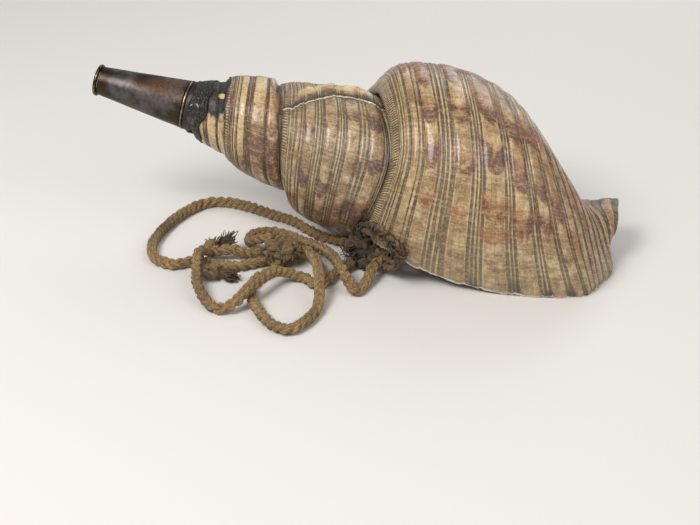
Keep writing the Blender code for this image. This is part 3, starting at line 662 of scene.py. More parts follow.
form = Form()
add_ball(form, CENTER_KNOT, 0.72)
for lobes, twist in ((3, 0.4), (5, 1.3)):
    points, along = knot_line(CENTER_KNOT, lobes, twist)
    add_plait(form, points, along, phase=twist)
    add_fibres(form, points, KNOT_FIBRES, KNOT_FIBRE_REACH)
for k in range(13):
    turn = math.radians(190.0 + 13.0 * k + rng.uniform(-5.0, 5.0))
    way = np.array([math.cos(turn), math.sin(turn), -0.45])
    start = np.array(CENTER_KNOT[0]) + (0.0, 0.0, 0.008) + way * 0.004
    add_yarn(form, start, way, rng.uniform(0.011, 0.017), 0.0014, 0.0014, 0.75)
center_knot = install(form.build("center_knot_plait", hemp), "hemp", "center_knot")

# The tie goes round the corner of the shell's mouth and back into the hitch
TIE_ROUND = (
    (0.0180, -0.0420, 0.0180), (0.0130, -0.0425, 0.0300), (0.0200, -0.0525, 0.0365),
    (0.0290, -0.0640, 0.0400), (0.0375, -0.0700, 0.0365), (0.0440, -0.0715, 0.0290),
    (0.0440, -0.0670, 0.0180), (0.0360, -0.0580, 0.0110), (0.0250, -0.0480, 0.0130),
)
form = Form()
add_ball(form, HITCH, 0.70, 0.1)
for lobes, twist in ((3, 0.9), (4, 2.2)):
    points, along = knot_line(HITCH, lobes, twist)
    add_plait(form, points, along, phase=twist)
tie, tie_along = even_points(smooth_route(TIE_ROUND), LINE_STEP)
for aside in (-1.0, 1.0):
    add_plait(form, tie + np.array([0.0016, -0.0002, 0.0024]) * aside, tie_along, 0.66, aside)
for _ in range(150):
    if rng.uniform() < 0.55:
        root = tie[int(rng.integers(0, int(len(tie) * 0.72)))]
        way = rng.normal(0.0, 1.0, 3) + np.array([0.0, -0.9, 0.5])
    else:
        way = rng.normal(0.0, 1.0, 3) + np.array([-0.2, -0.5, 0.6])
        root = np.array(HITCH[0]) + unit(way) * np.array(HITCH[1]) * 0.75
    add_yarn(form, root, way, rng.uniform(0.005, 0.011), rng.uniform(0.0004, 0.0009), 0.0022,
             float(rng.choice([0.0, 0.25, 0.6, 1.0])))
install(form.build("hitch_plait", dark_hemp), "dark_hemp", "hitch")

end_knots = (("rear_end_knot", REAR_CORD_END, 0), ("front_end_knot", FRONT_CORD_END, 1))
for name, shape, axis in end_knots:
    form = Form()
    add_ball(form, shape, 0.86, 0.4)
    add_whipping(form, shape, axis)
    for _ in range(26):
        way = rng.normal(0.0, 1.0, 3) + np.array([0.0, -0.3, 0.5])
        root = np.array(shape[0]) + unit(way) * np.array(shape[1]) * 0.8
        add_yarn(form, root, way, rng.uniform(0.002, 0.005), 0.0005, 0.001, rng.uniform(0.0, 0.7))
    install(form.build(name + "_whipping", hemp), "hemp", name)
tufts = (("rear_tuft", (-0.0935, -0.0430, 0.0060), (-0.0855, -0.0405, 0.0125), 0.0034),
         ("front_tuft", (-0.0850, -0.0795, 0.0055), (-0.0735, -0.0810, 0.0040), 0.0026))
for name, start, middle, spread in tufts:
    form = Form()
    add_tuft(form, start, middle, spread)
    install(form.build(name + "_fibres", dark_hemp), "dark_hemp", name)

# %% [markdown]
# ## What each cord is
# A cord is flexible, so besides its shape it has a length, a thickness and a stiffness of its own. Only
# the lengths are given here: those of the solid cords between the lumps that they are tied into, rounded
# to a centimetre. They are stated and not simulated, because the cord lies still here.

CORD_LENGTHS = {"rear_cord": 0.34, "front_cord": 0.26, "slack_cord": 0.20, "loop_cord": 0.21}
for cord_name, length in CORD_LENGTHS.items():
    points = lines[cord_name][0]
    print(cord_name, "declared,", round(float(lines[cord_name][1][-1]), 3), "m drawn")

# %% [markdown]
# ## How the shell grows
# A shell grows at its lip only, so all of it is one profile that turns round an axis while it gets
# bigger. A place on it is given by its turn, which is 0 at the lip and falls by one for each whorl
# towards the tip, and by its share of the way along the profile. The tables hold the measured
# profile at a few turns, and the sheet is grown from them row by row.

# %% Growth tables
RIM_X = -0.1948
AXIS_Y = 0.0052
RIM_HEIGHT = 0.1142
AXIS_TILT = math.radians(13.0)
LIP_ANGLE = math.radians(225.0)
# Where each whorl meets the one before, as (turn, axial, radius)
SUTURE = (
    (-4.000, 0.0550, 0.0130),
    (-3.375, 0.0700, 0.0180),
    (-2.875, 0.0840, 0.0222),
    (-2.375, 0.0988, 0.0278),
    (-1.875, 0.1165, 0.0318),
    (-1.375, 0.1372, 0.0362),
    (-0.875, 0.1666, 0.0426),
    (-0.375, 0.2060, 0.0485),
    (-0.170, 0.2290, 0.0520),
    (0.000, 0.2240, 0.0560),
)
# How far each whorl swells past the straight line between its sutures, as (turn, swell)
SWELL = (
    (-4.000, 0.0015),
    (-2.375, 0.0030),
    (-1.875, 0.0035),
    (-1.375, 0.0030),
    (-0.875, 0.0145),
    (-0.375, 0.0245),
    (0.000, 0.0200),
)
SWELL_SHAPE = ((0.09, 0.78), (0.29, 1.00), (0.55, 0.94), (0.80, 0.58))
# Spans of the profile from the suture to its base
WHORL_SPANS = len(SWELL_SHAPE) + 1
# Front end of the body whorl, as (turn, base, neck, waist, edge), each an (axial, radius) pair
FRONT_END = (
    (-1.000, 0.2240, 0.0560, 0.2600, 0.0430, 0.3000, 0.0240, 0.3980, 0.0120),
    (-0.875, 0.2550, 0.0560, 0.2900, 0.0400, 0.3300, 0.0230, 0.3980, 0.0150),
    (-0.625, 0.2950, 0.0610, 0.3300, 0.0400, 0.3620, 0.0140, 0.4000, 0.0260),
    (-0.375, 0.3150, 0.0640, 0.3440, 0.0380, 0.3660, 0.0105, 0.3990, 0.0140),
    (-0.125, 0.3550, 0.0720, 0.3760, 0.0500, 0.3900, 0.0300, 0.4010, 0.0150),
    (0.000, 0.3850, 0.0740, 0.3970, 0.0590, 0.4060, 0.0360, 0.3980, 0.0120),
)
# Lean of the lip, as (share along the profile, degrees)
LIP_LEAN = ((0.0, 0.0), (0.1, -7.0), (0.3, -13.0), (0.5, -15.0), (0.7, -18.0), (0.9, -22.0),
            (1.2, -21.0), (1.7, -8.0), (2.0, 0.0))
LEAN_TURNS = 0.40
LEAST_RADIUS = 0.0005


def smooth_table(table, place):
    """Values of a table of stations at one place, on smooth curves that never overshoot."""
    rows = np.array(table, dtype=float)
    x, y = rows[:, 0], rows[:, 1:]
    step = np.diff(x)[:, None]
    slope = np.diff(y, axis=0) / step
    if place <= x[0]:
        return y[0] + (place - x[0]) * slope[0]
    if place >= x[-1]:
        return y[-1] + (place - x[-1]) * slope[-1]
    tangent = np.zeros_like(y)
    tangent[0], tangent[-1] = slope[0], slope[-1]
    left, right = slope[:-1], slope[1:]
    same_way = left * right > 0
    total = np.where(same_way, left + right, 1.0)
    tangent[1:-1] = np.where(same_way, 2 * left * right / total, 0.0)
    i = int(np.searchsorted(x, place, side="right")) - 1
    width = x[i + 1] - x[i]
    t = (place - x[i]) / width
    return ((2 * t**3 - 3 * t**2 + 1) * y[i] + (t**3 - 2 * t**2 + t) * width * tangent[i]
            + (3 * t**2 - 2 * t**3) * y[i + 1] + (t**3 - t**2) * width * tangent[i + 1])


def front_end(turn):
    """Base, neck, waist and edge of the profile; inner whorls repeat the first one, smaller."""
    if turn >= -1.0:
        return smooth_table(FRONT_END, turn).reshape(4, 2)
    first = smooth_table(FRONT_END, -1.0).reshape(4, 2)
    base = smooth_table(SUTURE, turn + 1.0)
    return base + (first - first[0]) * (base[1] / first[0][1])


def profile_stations(turn):
    """Control points (axial, radius) of the whorl's profile: suture, swell, then the front end."""
    suture = smooth_table(SUTURE, turn)
    end = front_end(turn)
    swell = smooth_table(SWELL, turn)[0]
    points = [suture]
    for share, height in SWELL_SHAPE:
        points.append(suture + (end[0] - suture) * share + np.array([0.0, swell * height]))
    return np.array(points + list(end))


def profile_row(turn, shares):
    """Profile points and directions at many shares: 0 suture, 1 base, 2 end of the siphon."""
    points = profile_stations(turn)
    spans = WHORL_SPANS
    last = len(points) - 1
    knot = np.where(shares <= 1.0, shares * spans, spans + (shares - 1.0) * (last - spans))
    i = np.clip(knot.astype(int), 0, last - 1)
    t = (knot - i)[:, None]
    a, b = points[i], points[i + 1]
    before = np.where((i > 0)[:, None], points[i - 1], 2 * points[0] - points[1])
    after = np.where((i < last - 1)[:, None], points[np.minimum(i + 2, last)],
                     2 * points[-1] - points[-2])
    second, third = 2 * before - 5 * a + 4 * b - after, 3 * a - before - 3 * b + after
    here = 0.5 * (2 * a + (b - before) * t + second * t**2 + third * t**3)
    ahead = (b - before) + 2 * second * t + 3 * third * t**2
    return here, unit(ahead)


def axis_points(axial, radius, angle):
    """World places of points given along, out from and round the coiling axis."""
    y, z = radius * np.cos(angle), radius * np.sin(angle)
    return np.stack([RIM_X + axial * math.cos(AXIS_TILT) + z * math.sin(AXIS_TILT),
                     AXIS_Y + y + 0.0 * axial,
                     RIM_HEIGHT - axial * math.sin(AXIS_TILT) + z * math.cos(AXIS_TILT)], axis=-1)


lean_places = np.linspace(0.0, 2.0, 201)
lean_angles = np.radians([float(smooth_table(LIP_LEAN, place)[0]) for place in lean_places])


def shell_row(turn, shares, raise_by=0.0, push=0.0):
    """One row of the shell: the profile at a turn, raised off itself and pushed on in turn."""
    here, ahead = profile_row(turn, shares)
    ramp = min(max(1.0 + turn / LEAN_TURNS, 0.0), 1.0)
    lean = np.interp(shares, lean_places, lean_angles) * ramp * ramp * (3 - 2 * ramp)
    axial = here[:, 0] - raise_by * ahead[:, 1]
    radius = np.maximum(here[:, 1] + raise_by * ahead[:, 0], LEAST_RADIUS)
    return axis_points(axial, radius, LIP_ANGLE + 2 * math.pi * (turn + push) + lean)


print("lip to siphon:", np.round(shell_row(0.0, np.array([0.0, 1.0, 2.0])), 3).tolist())

# %% [markdown]
# ## Ribs
# Broad flat ribs run round the shell with it, and finer threads lie in the grooves between them. The
# columns of the sheet are set on the edges of the ribs, so that each rib has crisp edges in the mesh
# itself. Whorls further in show fewer ribs, because the next whorl covers the rest, so a second
# table says where each rib place has got to on the inner whorls.

# %% Ribs of the shell
# Ribs and threads as (start, end, height) in rib places, which are shares of the outer profile
RIBS = (
    (0.114, 0.124, 0.40), (0.134, 0.150, 0.60), (0.168, 0.182, 0.45), (0.190, 0.216, 0.75),
    (0.236, 0.283, 0.85), (0.290, 0.306, 0.80),
    (0.320, 0.395, 1.00), (0.403, 0.416, 0.40), (0.427, 0.441, 0.50), (0.449, 0.460, 0.40),
    (0.478, 0.556, 1.00), (0.565, 0.575, 0.45), (0.581, 0.591, 0.45), (0.597, 0.606, 0.40),
    (0.614, 0.708, 1.00), (0.716, 0.725, 0.40), (0.731, 0.740, 0.40), (0.747, 0.822, 1.00),
    (0.832, 0.842, 0.40), (0.848, 0.857, 0.40), (0.865, 0.932, 1.00), (0.942, 0.952, 0.40),
    (0.965, 1.040, 1.00), (1.056, 1.066, 0.40), (1.085, 1.150, 0.95), (1.175, 1.235, 0.90),
    (1.265, 1.330, 0.90), (1.365, 1.435, 0.85), (1.475, 1.550, 0.85), (1.600, 1.680, 0.80),
    (1.740, 1.820, 0.80), (1.880, 1.960, 0.70),
)
BEAD_BAND = (0.040, 0.108)
BEAD_RELIEF = 0.62
# Ribs wider than this are the broad ones, which carry the crescents
BROAD = 0.055
rib_middles = np.array([(start + end) / 2 for start, end, _ in RIBS])
rib_halves = np.array([(end - start) / 2 for start, end, _ in RIBS])
rib_is_broad = np.array([end - start > BROAD for start, end, _ in RIBS])
RIB_HEIGHT = 0.0011
# Rib places, and the shares where they lie at each of these turns
RIB_PLACES = (0.000, 0.055, 0.150, 0.182, 0.283, 0.320, 0.395, 0.478, 0.556, 0.612, 0.708, 0.745,
              0.820, 0.900, 1.000, 2.000)
PLACE_TURNS = (-4.0, -2.15, -1.15, -0.55, 0.0)
INNER_SHARES = (0.000, 0.085, 0.190, 0.250, 0.325, 0.350, 0.460, 0.540, 0.730, 0.760, 0.990, 1.030,
                1.100, 1.200, 1.300, 2.000)
MIDDLE_SHARES = (0.000, 0.060, 0.210, 0.225, 0.305, 0.345, 0.415, 0.495, 0.565, 0.640, 0.715, 0.800,
                 0.955, 1.030, 1.120, 2.000)
PLACE_SHARES = (INNER_SHARES, INNER_SHARES, MIDDLE_SHARES, RIB_PLACES, RIB_PLACES)


def relief_at(places):
    """Height of the ribs, 0 to 1, at places across them."""
    height = np.zeros(len(places))
    for middle, half, (_, _, top) in zip(rib_middles, rib_halves, RIBS):
        across = (places - middle) / half
        height = np.maximum(height, top * clamped(1.0 - np.abs(across) ** 5))
    band = clamped(np.minimum(places - BEAD_BAND[0], BEAD_BAND[1] - places) / 0.008)
    return np.maximum(height, BEAD_RELIEF * band)


def rib_columns():
    """Columns of the sheet, closer together on the edges of the ribs."""
    columns = [0.0, 0.004, 0.010, 0.020, 0.035, *np.linspace(BEAD_BAND[0], BEAD_BAND[1], 9), 0.160]
    for (start, end, _), middle, broad in zip(RIBS, rib_middles, rib_is_broad):
        across = (-1.0, -0.8, 0.0, 0.8, 1.0)
        if broad:
            across = (-1.0, -0.93, -0.8, -0.55, -0.2, 0.2, 0.55, 0.8, 0.93, 1.0)
        columns += [middle + x * (end - start) / 2 for x in across]
    columns += [(end + start) / 2 for (_, end, _), (start, _, _) in zip(RIBS, RIBS[1:])]
    return np.array(sorted(columns + [1.98, 2.0]))


def shares_at(turn, places):
    """Shares of the profile at which the rib places lie at a turn."""
    row = [np.interp(turn, PLACE_TURNS, [shares[k] for shares in PLACE_SHARES])
           for k in range(len(RIB_PLACES))]
    return np.interp(places, RIB_PLACES, row)


columns = rib_columns()
relief = relief_at(columns)
print("columns:", len(columns))

# %% [markdown]
# ## Marks that the shell's colours follow
# The brown crescents sit on the broad ribs, in rows that follow the growth of the lip, and each one
# is bounded by its rib. They are stored on the mesh as a number, and so are the beads along the
# suture, the white scar of an older lip, the white edge of the lip, and the pitch stain by the
# mouthpiece. The finish then only has to say what colour each of them is.

# %% Marks on the shell
# Brown crescents as (turn, share, length in turns, strength)
CRESCENTS = (
    (-0.340, 0.357, 0.018, 0.7), (-0.267, 0.357, 0.016, 1.0), (-0.200, 0.357, 0.018, 0.8),
    (-0.133, 0.357, 0.012, 0.5), (-0.360, 0.517, 0.020, 0.9), (-0.274, 0.517, 0.017, 1.0),
    (-0.190, 0.517, 0.016, 0.8), (-0.120, 0.517, 0.010, 0.3), (-0.380, 0.660, 0.020, 0.9),
    (-0.300, 0.660, 0.026, 1.0), (-0.212, 0.660, 0.020, 1.0), (-0.133, 0.660, 0.016, 0.7),
    (-0.093, 0.660, 0.010, 0.5), (-0.350, 0.785, 0.020, 0.9), (-0.272, 0.785, 0.024, 1.0),
    (-0.190, 0.785, 0.024, 1.0), (-0.112, 0.785, 0.018, 0.7), (-0.267, 0.900, 0.020, 0.9),
    (-0.175, 0.900, 0.014, 0.9), (-0.119, 0.900, 0.016, 0.7), (-0.300, 1.000, 0.020, 0.9),
    (-0.230, 1.000, 0.020, 0.8), (-0.150, 1.000, 0.020, 0.7), (-0.090, 1.100, 0.020, 0.6),
    (-1.270, 0.880, 0.020, 1.0), (-1.227, 0.551, 0.018, 0.8), (-1.213, 0.380, 0.018, 0.8),
    (-1.171, 0.700, 0.016, 0.5), (-1.178, 0.880, 0.022, 1.0), (-1.101, 0.380, 0.022, 1.0),
    (-1.094, 0.540, 0.024, 1.0), (-1.045, 0.680, 0.026, 0.9), (-1.045, 0.880, 0.026, 1.0),
    (-1.277, 0.660, 0.016, 0.7), (-2.244, 0.640, 0.030, 0.5), (-2.205, 0.880, 0.034, 1.0),
    (-2.110, 0.640, 0.060, 0.6), (-2.080, 0.880, 0.060, 0.9), (-2.060, 0.400, 0.030, 0.5),
)
# Turns of the inner whorls where the table lists every crescent
LISTED_TURNS = ((-1.33, -1.0), (-2.33, -2.02))
TICK_LENGTH = 0.0021
SCAR_RIDGE = 0.0036
growth = np.random.default_rng(5)


def crescents():
    """The crescents in view, and more of the same kind round the rest of the shell."""
    marks = list(CRESCENTS)
    for (start, _, _), middle, broad in zip(RIBS, rib_middles, rib_is_broad):
        if not broad or start > 1.2:
            continue
        turn = -0.43
        while turn > -3.0:
            share = float(shares_at(turn, np.array([middle]))[0])
            seen = any(first < turn < last for first, last in LISTED_TURNS)
            if not seen and share < 1.0:
                strength = growth.uniform(0.35, 1.0)
                marks.append((turn, share, growth.uniform(0.012, 0.022) * (1.0 - 0.4 * turn), strength))
            turn -= (0.068 - 0.045 * turn) * growth.uniform(0.85, 1.15)
    return marks


def crescent_strength(turns, marks):
    """How brown each point is, 0 to 1."""
    brown = np.zeros((len(turns), len(columns)))
    for turn, share, length, strength in marks:
        rows = np.where(np.abs(turns - turn) < 2.2 * length)[0]
        if len(rows) == 0:
            continue
        away = np.where(rib_is_broad, np.abs(shares_at(turn, rib_middles) - share), np.inf)
        rib = int(np.argmin(away))
        across = (columns - rib_middles[rib]) / rib_halves[rib]
        bend = 0.75 * length * across**2
        along = (turns[rows][:, None] - turn + bend[None, :]) / length
        shape = clamped((1.15 - along) / 0.35) * clamped((along + 1.7) / 1.6)
        shape = shape * clamped(2.6 - np.abs(across) * 1.5)[None, :]
        brown[rows] = np.maximum(brown[rows], shape * strength)
    return brown


# Edge of the older lip on the second whorl, as shares and the turns where it lies there
SCAR_SHARES = (0.00, 0.22, 0.42, 0.594, 0.81, 1.00)
SCAR_TURNS = (-1.266, -1.270, -1.311, -1.344, -1.346, -1.332)
SCAR_EDGE = 0.0009
SCAR_GUTTER = 0.0008
BACK_RIDGE = 0.0012
# Depth of the hollow between two whorls at each turn of the upper one, and of the whorls' middles
HOLLOW_TURNS = (-3.5, -2.875, -2.6, -2.375, -1.9, -1.6, -1.375, -1.15, -0.95, -0.7, -0.5, -0.375,
                -0.22, -0.1)
HOLLOW_DEPTHS = (0.0036, 0.0036, 0.0015, 0.0, 0.0006, 0.0022, 0.0042, 0.0022, 0.0008, 0.0012, 0.0030,
                 0.0036, 0.0018, 0.0)
MIDDLE_TURNS = (-3.3, -2.875, -2.6, -1.6, -1.48, -1.375, -1.27, -1.15)
MIDDLE_DEPTHS = (0.0036, 0.0022, 0.0, 0.0, 0.0022, 0.0034, 0.0018, 0.0)


def near(values, middle, width):
    """1 at the middle, fading to 0 a few widths away."""
    return np.exp(-(((values - middle) / width) ** 2))


def whorl_hollow(turn, shares):
    """How far the surface lies in from the smooth profile, deepest where two whorls meet."""
    first = near(shares, 0.0, 0.12 if turn < -0.9 else 0.24)
    last = near(np.minimum(shares, 1.0), 1.0, 0.05 if turn < -3.0 else 0.10) * (turn < -0.999)
    middle = np.interp(turn, MIDDLE_TURNS, MIDDLE_DEPTHS) * (turn < -1.0)
    return (np.interp(turn, HOLLOW_TURNS, HOLLOW_DEPTHS) * first
            + np.interp(turn + 1.0, HOLLOW_TURNS, HOLLOW_DEPTHS) * last
            + middle * (1.0 - first) * (1.0 - last))


def scar_turn(shares):
    """Turn where the edge of the older lip shows on the second whorl."""
    wavy = 0.0016 * np.sin(shares * 37.0) + 0.0009 * np.sin(shares * 93.0 + 1.0)
    return np.interp(shares, SCAR_SHARES, SCAR_TURNS) + wavy


def scar_height(turn, shares):
    """The older lip: a sharp edge, a gutter behind it and the thick ridge of that lip."""
    behind = scar_turn(shares) - turn
    rise = clamped((shares - 0.18) / 0.20) * clamped((1.05 - shares) / 0.20)
    lumps = 1.0 + 0.16 * np.sin(shares * 26.0) + 0.10 * np.sin(shares * 57.0)
    ends = clamped(shares / 0.06) * clamped((1.02 - shares) / 0.05)
    back = near(turn, -0.665, 0.020) * clamped((1.3 - shares) / 0.3)
    edge = SCAR_EDGE * near(behind, 0.0004, 0.0022) * ends
    gutter = SCAR_GUTTER * near(behind, 0.011, 0.006) * ends
    ridge = SCAR_RIDGE * near(behind, 0.046, 0.020) * rise * lumps
    return edge - gutter + ridge + BACK_RIDGE * back


# %% [markdown]
# ## The outside of the shell
# The sheet starts inside the pitch, where the tip is cut off, and ends at the lip. The last rows
# curl round the thin edge of the lip to the inner face. Small slow waves keep the surface from being
# perfect, and the lip's edge is drawn out at the ribs and nicked between them.

# %% Grow the sheet
WALL = 0.0024
ROWS_PER_TURN = 190
FIRST_TURN = -4.0
LIP_STEPS = 5
LIP_RADIUS = 0.055
SLOW_WAVE = 0.00025
GROWTH_LINE = 0.00007
# A whorl's edge sinks into the whorl before and swells just past it
EDGE_SINK = 0.0012
EDGE_SWELL = 0.0020
SHELL_CUT = 0.0800
CUT_MARGIN = 0.0005
# Where the front end of the inner whorls is hidden
HIDDEN_SHARE = 1.10
HIDDEN_TURN = -1.95
SKIN_FLOOR = 0.00005
# The lip is white from this rib place on, in full after a short way
WHITE_FROM = 0.12
WHITE_RISE = 0.06


def growth_waves(turn, shares):
    """Slow unevenness of the surface, in metres."""
    slow = np.sin(turn * 31.0 + shares * 5.0) * np.sin(turn * 13.0 - shares * 3.0 + 1.0)
    lines = np.sin(turn * 190.0 + 2.0 * np.sin(turn * 47.0)) * 0.5 + np.sin(turn * 83.0 + 0.7) * 0.5
    return SLOW_WAVE * slow + GROWTH_LINE * lines


def lip_push(places):
    """How far the lip's edge is drawn out or nicked, in turns."""
    ribs = relief_at(places) - 0.6
    fan = clamped((places - 0.95) / 0.25)
    chips = np.sin(places * 61.0) * np.sin(places * 143.0 + 1.0) + 0.5 * np.sin(places * 317.0)
    ends = clamped(places / 0.08) * clamped((2.0 - places) / 0.12)
    drawn_in = 0.016 * near(places, 0.22, 0.11) + 0.010 * near(places, 1.62, 0.05)
    return ends * (0.0016 * ribs + 0.0060 * fan * ribs + 0.0011 * chips - drawn_in)


def whorl_scale(turn):
    """Ribs get smaller with the whorls."""
    return min(1.0, float(smooth_table(SUTURE, min(turn, -0.2))[1]) / SUTURE[-1][2] + 0.1)


def raised(turn, shares, places_relief):
    """Height of everything that stands on the profile."""
    edge = clamped(shares / 0.012)
    swell = edge * EDGE_SWELL * clamped(1.0 - (shares - 0.012) / 0.10)
    overlap = -EDGE_SINK + swell + edge * EDGE_SINK
    near_lip = clamped(1.0 + turn / 0.03)
    return (RIB_HEIGHT * places_relief * whorl_scale(turn) * (1.0 - 0.55 * near_lip)
            + overlap * clamped(-turn / 0.02) + scar_height(turn, shares)
            + growth_waves(turn, shares) - whorl_hollow(turn, shares))


even_turns = np.linspace(FIRST_TURN, 0.0, int(-FIRST_TURN * ROWS_PER_TURN) + 1)
# More rows where the edge of the older lip crosses them
scar_turns = np.arange(-1.36, -1.255, 0.0012)
turns = np.unique(np.round(np.concatenate([even_turns, scar_turns]), 6))
row_shares = np.array([shares_at(turn, columns) for turn in turns])
push = lip_push(columns)
rows = []
for turn, shares in zip(turns, row_shares):
    close = clamped(1.0 + turn / 0.06)
    rows.append(shell_row(turn, shares, raised(turn, shares, relief), push * close * close))
outside = np.array(rows)
radii = np.array([profile_row(turn, np.array([0.1]))[0][0, 1] for turn in turns])
tick_steps = 2 * math.pi * radii[1:] * np.diff(turns) / TICK_LENGTH
tick_phase = np.concatenate(([0.0], np.cumsum(tick_steps)))
crescent_marks = crescents()
brown = crescent_strength(turns, crescent_marks)
print("outside:", outside.shape, "crescents:", len(crescent_marks))

# %% [markdown]
# ## The shell's skin
# The skin is polished and glossy. Ribs are cream to tan and the grooves between them grey brown, with
# chestnut on the small whorls, an olive painted shadow before the older lip and orange brown by the
# siphon. The gutter behind the older lip's edge is painted dark as shadow too. Fine lines cross the ribs
# where the lip once stood. The beads by the suture are too fine to model one by one, so they are waves in
# the bump and the colour, counted by the number stored on the mesh. An image could be painted instead,
# but noise that reads those numbers bends with the whorls and stays sharp.

# %% Shell finish
def make_shell_skin():
    """The outside of the shell."""
    finish = Finish("shell_skin", Coat_Roughness=0.14, Coat_IOR=1.5)
    mark, spread, step = finish.mark, finish.spread, finish.step
    where = finish.place()
    turn, place, rib = mark("turn"), mark("place"), mark("relief")
    brown, tick, band = mark("brown"), mark("tick"), mark("band")
    streak = spread(finish.vector(turn * 230.0, place * 5.0), 1.0, 3.0, 0.6)
    thread = spread(finish.vector(turn * 5.0, place * 150.0), 1.0, 3.0, 0.6)
    fading = spread(finish.vector(turn * 11.0, place * 34.0), 1.0, 3.0, 0.5)
    cloud = spread(where, 24.0)
    broad = spread(where, 9.0, 2.0, 0.5)
    blot = spread(where, 62.0, 4.0, 0.65, warp=0.8)
    mottle = spread(where, 105.0, 4.0, 0.6)
    speck = spread(where, 560.0, 3.0, 0.7)
    inner = step(turn, -1.98, -2.10)
    second = step(turn, -0.98, -1.02) - inner
    lip = step(turn, -0.12, -0.01)
    siphon = step(place, 0.82, 1.25)
    ripple = (thread - 0.5) * 0.26 + (mottle - 0.5) * 0.12 + (fading - 0.5) * 0.26 - inner * 0.18
    high = step(rib + ripple, 0.08, 0.44)
    fine_rib = step(rib, 0.12, 0.34) - step(rib, 0.48, 0.66)

    # The ribs: tan, mottled brown and pale, and a little different on each whorl
    cream = finish.layers(
        finish.mix(cloud, paint(214, 180, 124), paint(164, 126, 76)),
        (broad * 0.45, (156, 134, 98)),
        (second * 0.45, (152, 130, 98)),
        (inner * 0.75, (222, 196, 148)),
        (siphon * 0.70, (164, 116, 62)),
        (lip * 0.40, (186, 162, 128)),
        (mark("grey") * 0.55, (140, 126, 104)),
        (step(mottle, 0.50, 1.00) * (0.36 - inner * 0.20), (112, 80, 48)),
        (step(mottle, 0.45, 0.00) * 0.34, (230, 208, 164)),
        (step(blot, 0.50, 1.00) * (0.42 - inner * 0.20), (130, 88, 48)),
        (fine_rib * 0.50, (212, 190, 148)),
    )

    # The grooves: dark brown, chestnut on the small whorls
    groove = finish.layers(
        finish.mix(cloud, paint(80, 60, 40), paint(112, 92, 64)),
        (second * 0.6, (98, 82, 62)),
        (inner * 0.9, (82, 44, 22)),
        (siphon * 0.6, (66, 48, 38)),
        (lip * 0.50, (148, 124, 90)),
    )

    # Brown crescents with a soft orange back, and wider purple and orange brown clouds
    patchy = 0.42 + blot * 0.95 + mottle * 0.22
    stain = step(brown * patchy, 0.30, 0.80)
    orange = step(brown * patchy, 0.05, 0.35)
    bruise = step(mark("bruise") * patchy, 0.25, 0.95)
    warm = step(mark("warm") * patchy, 0.30, 1.05)
    body = finish.mix(cloud, paint(80, 47, 42), paint(108, 61, 36))
    purple = finish.layers(body, (second, (84, 62, 62)), (step(mottle, 0.3, 0.0) * 0.3, (160, 112, 74)))
    color = finish.layers(
        finish.mix(high, groove, cream),
        (orange * (0.25 + broad * 0.40), (162, 106, 60)),
        (stain * 0.88, purple),
        (bruise * 0.82, finish.mix(mottle, paint(84, 60, 58), paint(112, 74, 50))),
        (warm * 0.74, finish.mix(mottle, paint(170, 96, 38), paint(84, 44, 24))),
    )

    # Beads beside the suture, growth lines, specks, the lines of the siphon, painted shade in the creases
    # of the sutures, and dark patches
    bead = step(finish.wave(tick + (mottle - 0.5) * 0.12), 0.20, 0.80)
    beads = finish.layers(
        finish.mix(bead, paint(76, 60, 42), paint(216, 194, 152)),
        (step(thread, 0.55, 0.85) * 0.55, (100, 80, 54)),
        (step(blot, 0.50, 0.95) * 0.50, (94, 72, 50)),
    )
    fan = step(turn, -0.34, -0.46) * step(place, 1.10, 1.30)
    fan_line = step(finish.wave(place * 13.0 + (streak - 0.5) * 0.1), 0.35, 0.80)
    color = finish.layers(
        color,
        (band * 0.9, beads),
        (step(thread, 0.60, 0.95) * high * 0.35, (116, 86, 56)),
        (step(streak, 0.60, 1.00) * 0.24, (92, 66, 44)),
        (step(streak, 0.35, 0.00) * 0.14, (226, 208, 168)),
        (step(speck, 0.72, 1.00) * 0.36, (70, 50, 34)),
        (step(speck, 0.22, 0.00) * 0.22, (224, 204, 164)),
        (fan * (0.30 + fan_line * 0.55), (68, 52, 38)),
        # Painted shade: the creases where the whorls meet are darkened
        (mark("crease") * 0.85, (44, 36, 28)),
        (mark("patch") * (0.62 + blot * 0.35), (74, 61, 52)),
    )

    # The older lip: white edge, painted shadow in its gutter and in front of it, and a pale ridge. Then
    # the lip's white edge and the pitch
    behind, rise = mark("behind"), mark("rise")
    away = behind.math("ABSOLUTE", behind - (mottle - 0.5) * 0.0008)
    edge_line = step(away, 0.0021, 0.0011) * step(place, 0.0, 0.02)
    # Painted shadow: the gutter behind the older lip's edge, and a band in front of that edge
    gutter = step(behind, 0.0016, 0.0040) * step(behind, 0.026, 0.013)
    ridge = step(behind, 0.024, 0.036) * step(behind, 0.090, 0.066) * rise
    scar_front_shadow = step(behind, -0.030, -0.0030) * step(behind, 0.0, -0.0018)
    white = step(mark("edge") + (mottle - 0.5) * 0.7, 0.55, 0.80)
    pitch = step(mark("smear") + (mottle - 0.5) * 0.35, 0.40, 0.60)
    color = finish.layers(
        color,
        (scar_front_shadow * 0.55, (86, 78, 56)),
        (ridge * (0.90 - blot * 0.65), (222, 196, 150)),
        (gutter * 0.82, (56, 44, 34)),
        (edge_line * 0.92, (228, 214, 184)),
        (white, (226, 216, 198)),
        (mark("spot"), (218, 188, 136)),
        (pitch, finish.mix(speck, paint(16, 14, 14), paint(62, 54, 48))),
    )

    bump = (high * 0.30 + band * bead * 1.0 + streak * 0.16 + thread * 0.16 * (1 - band)
            + mottle * 0.14 + speck * 0.05 + edge_line * 0.8 - gutter * 0.6 - fan * fan_line * 0.6)
    rough = 0.25 + mottle * 0.12 + (1 - high) * 0.14 + cloud * 0.06 + pitch * 0.15
    return finish.surface(color, roughness=rough, bump=bump, bump_depth=0.00055,
                          coat=(0.45 - band * 0.25) * (1 - pitch * 0.8))


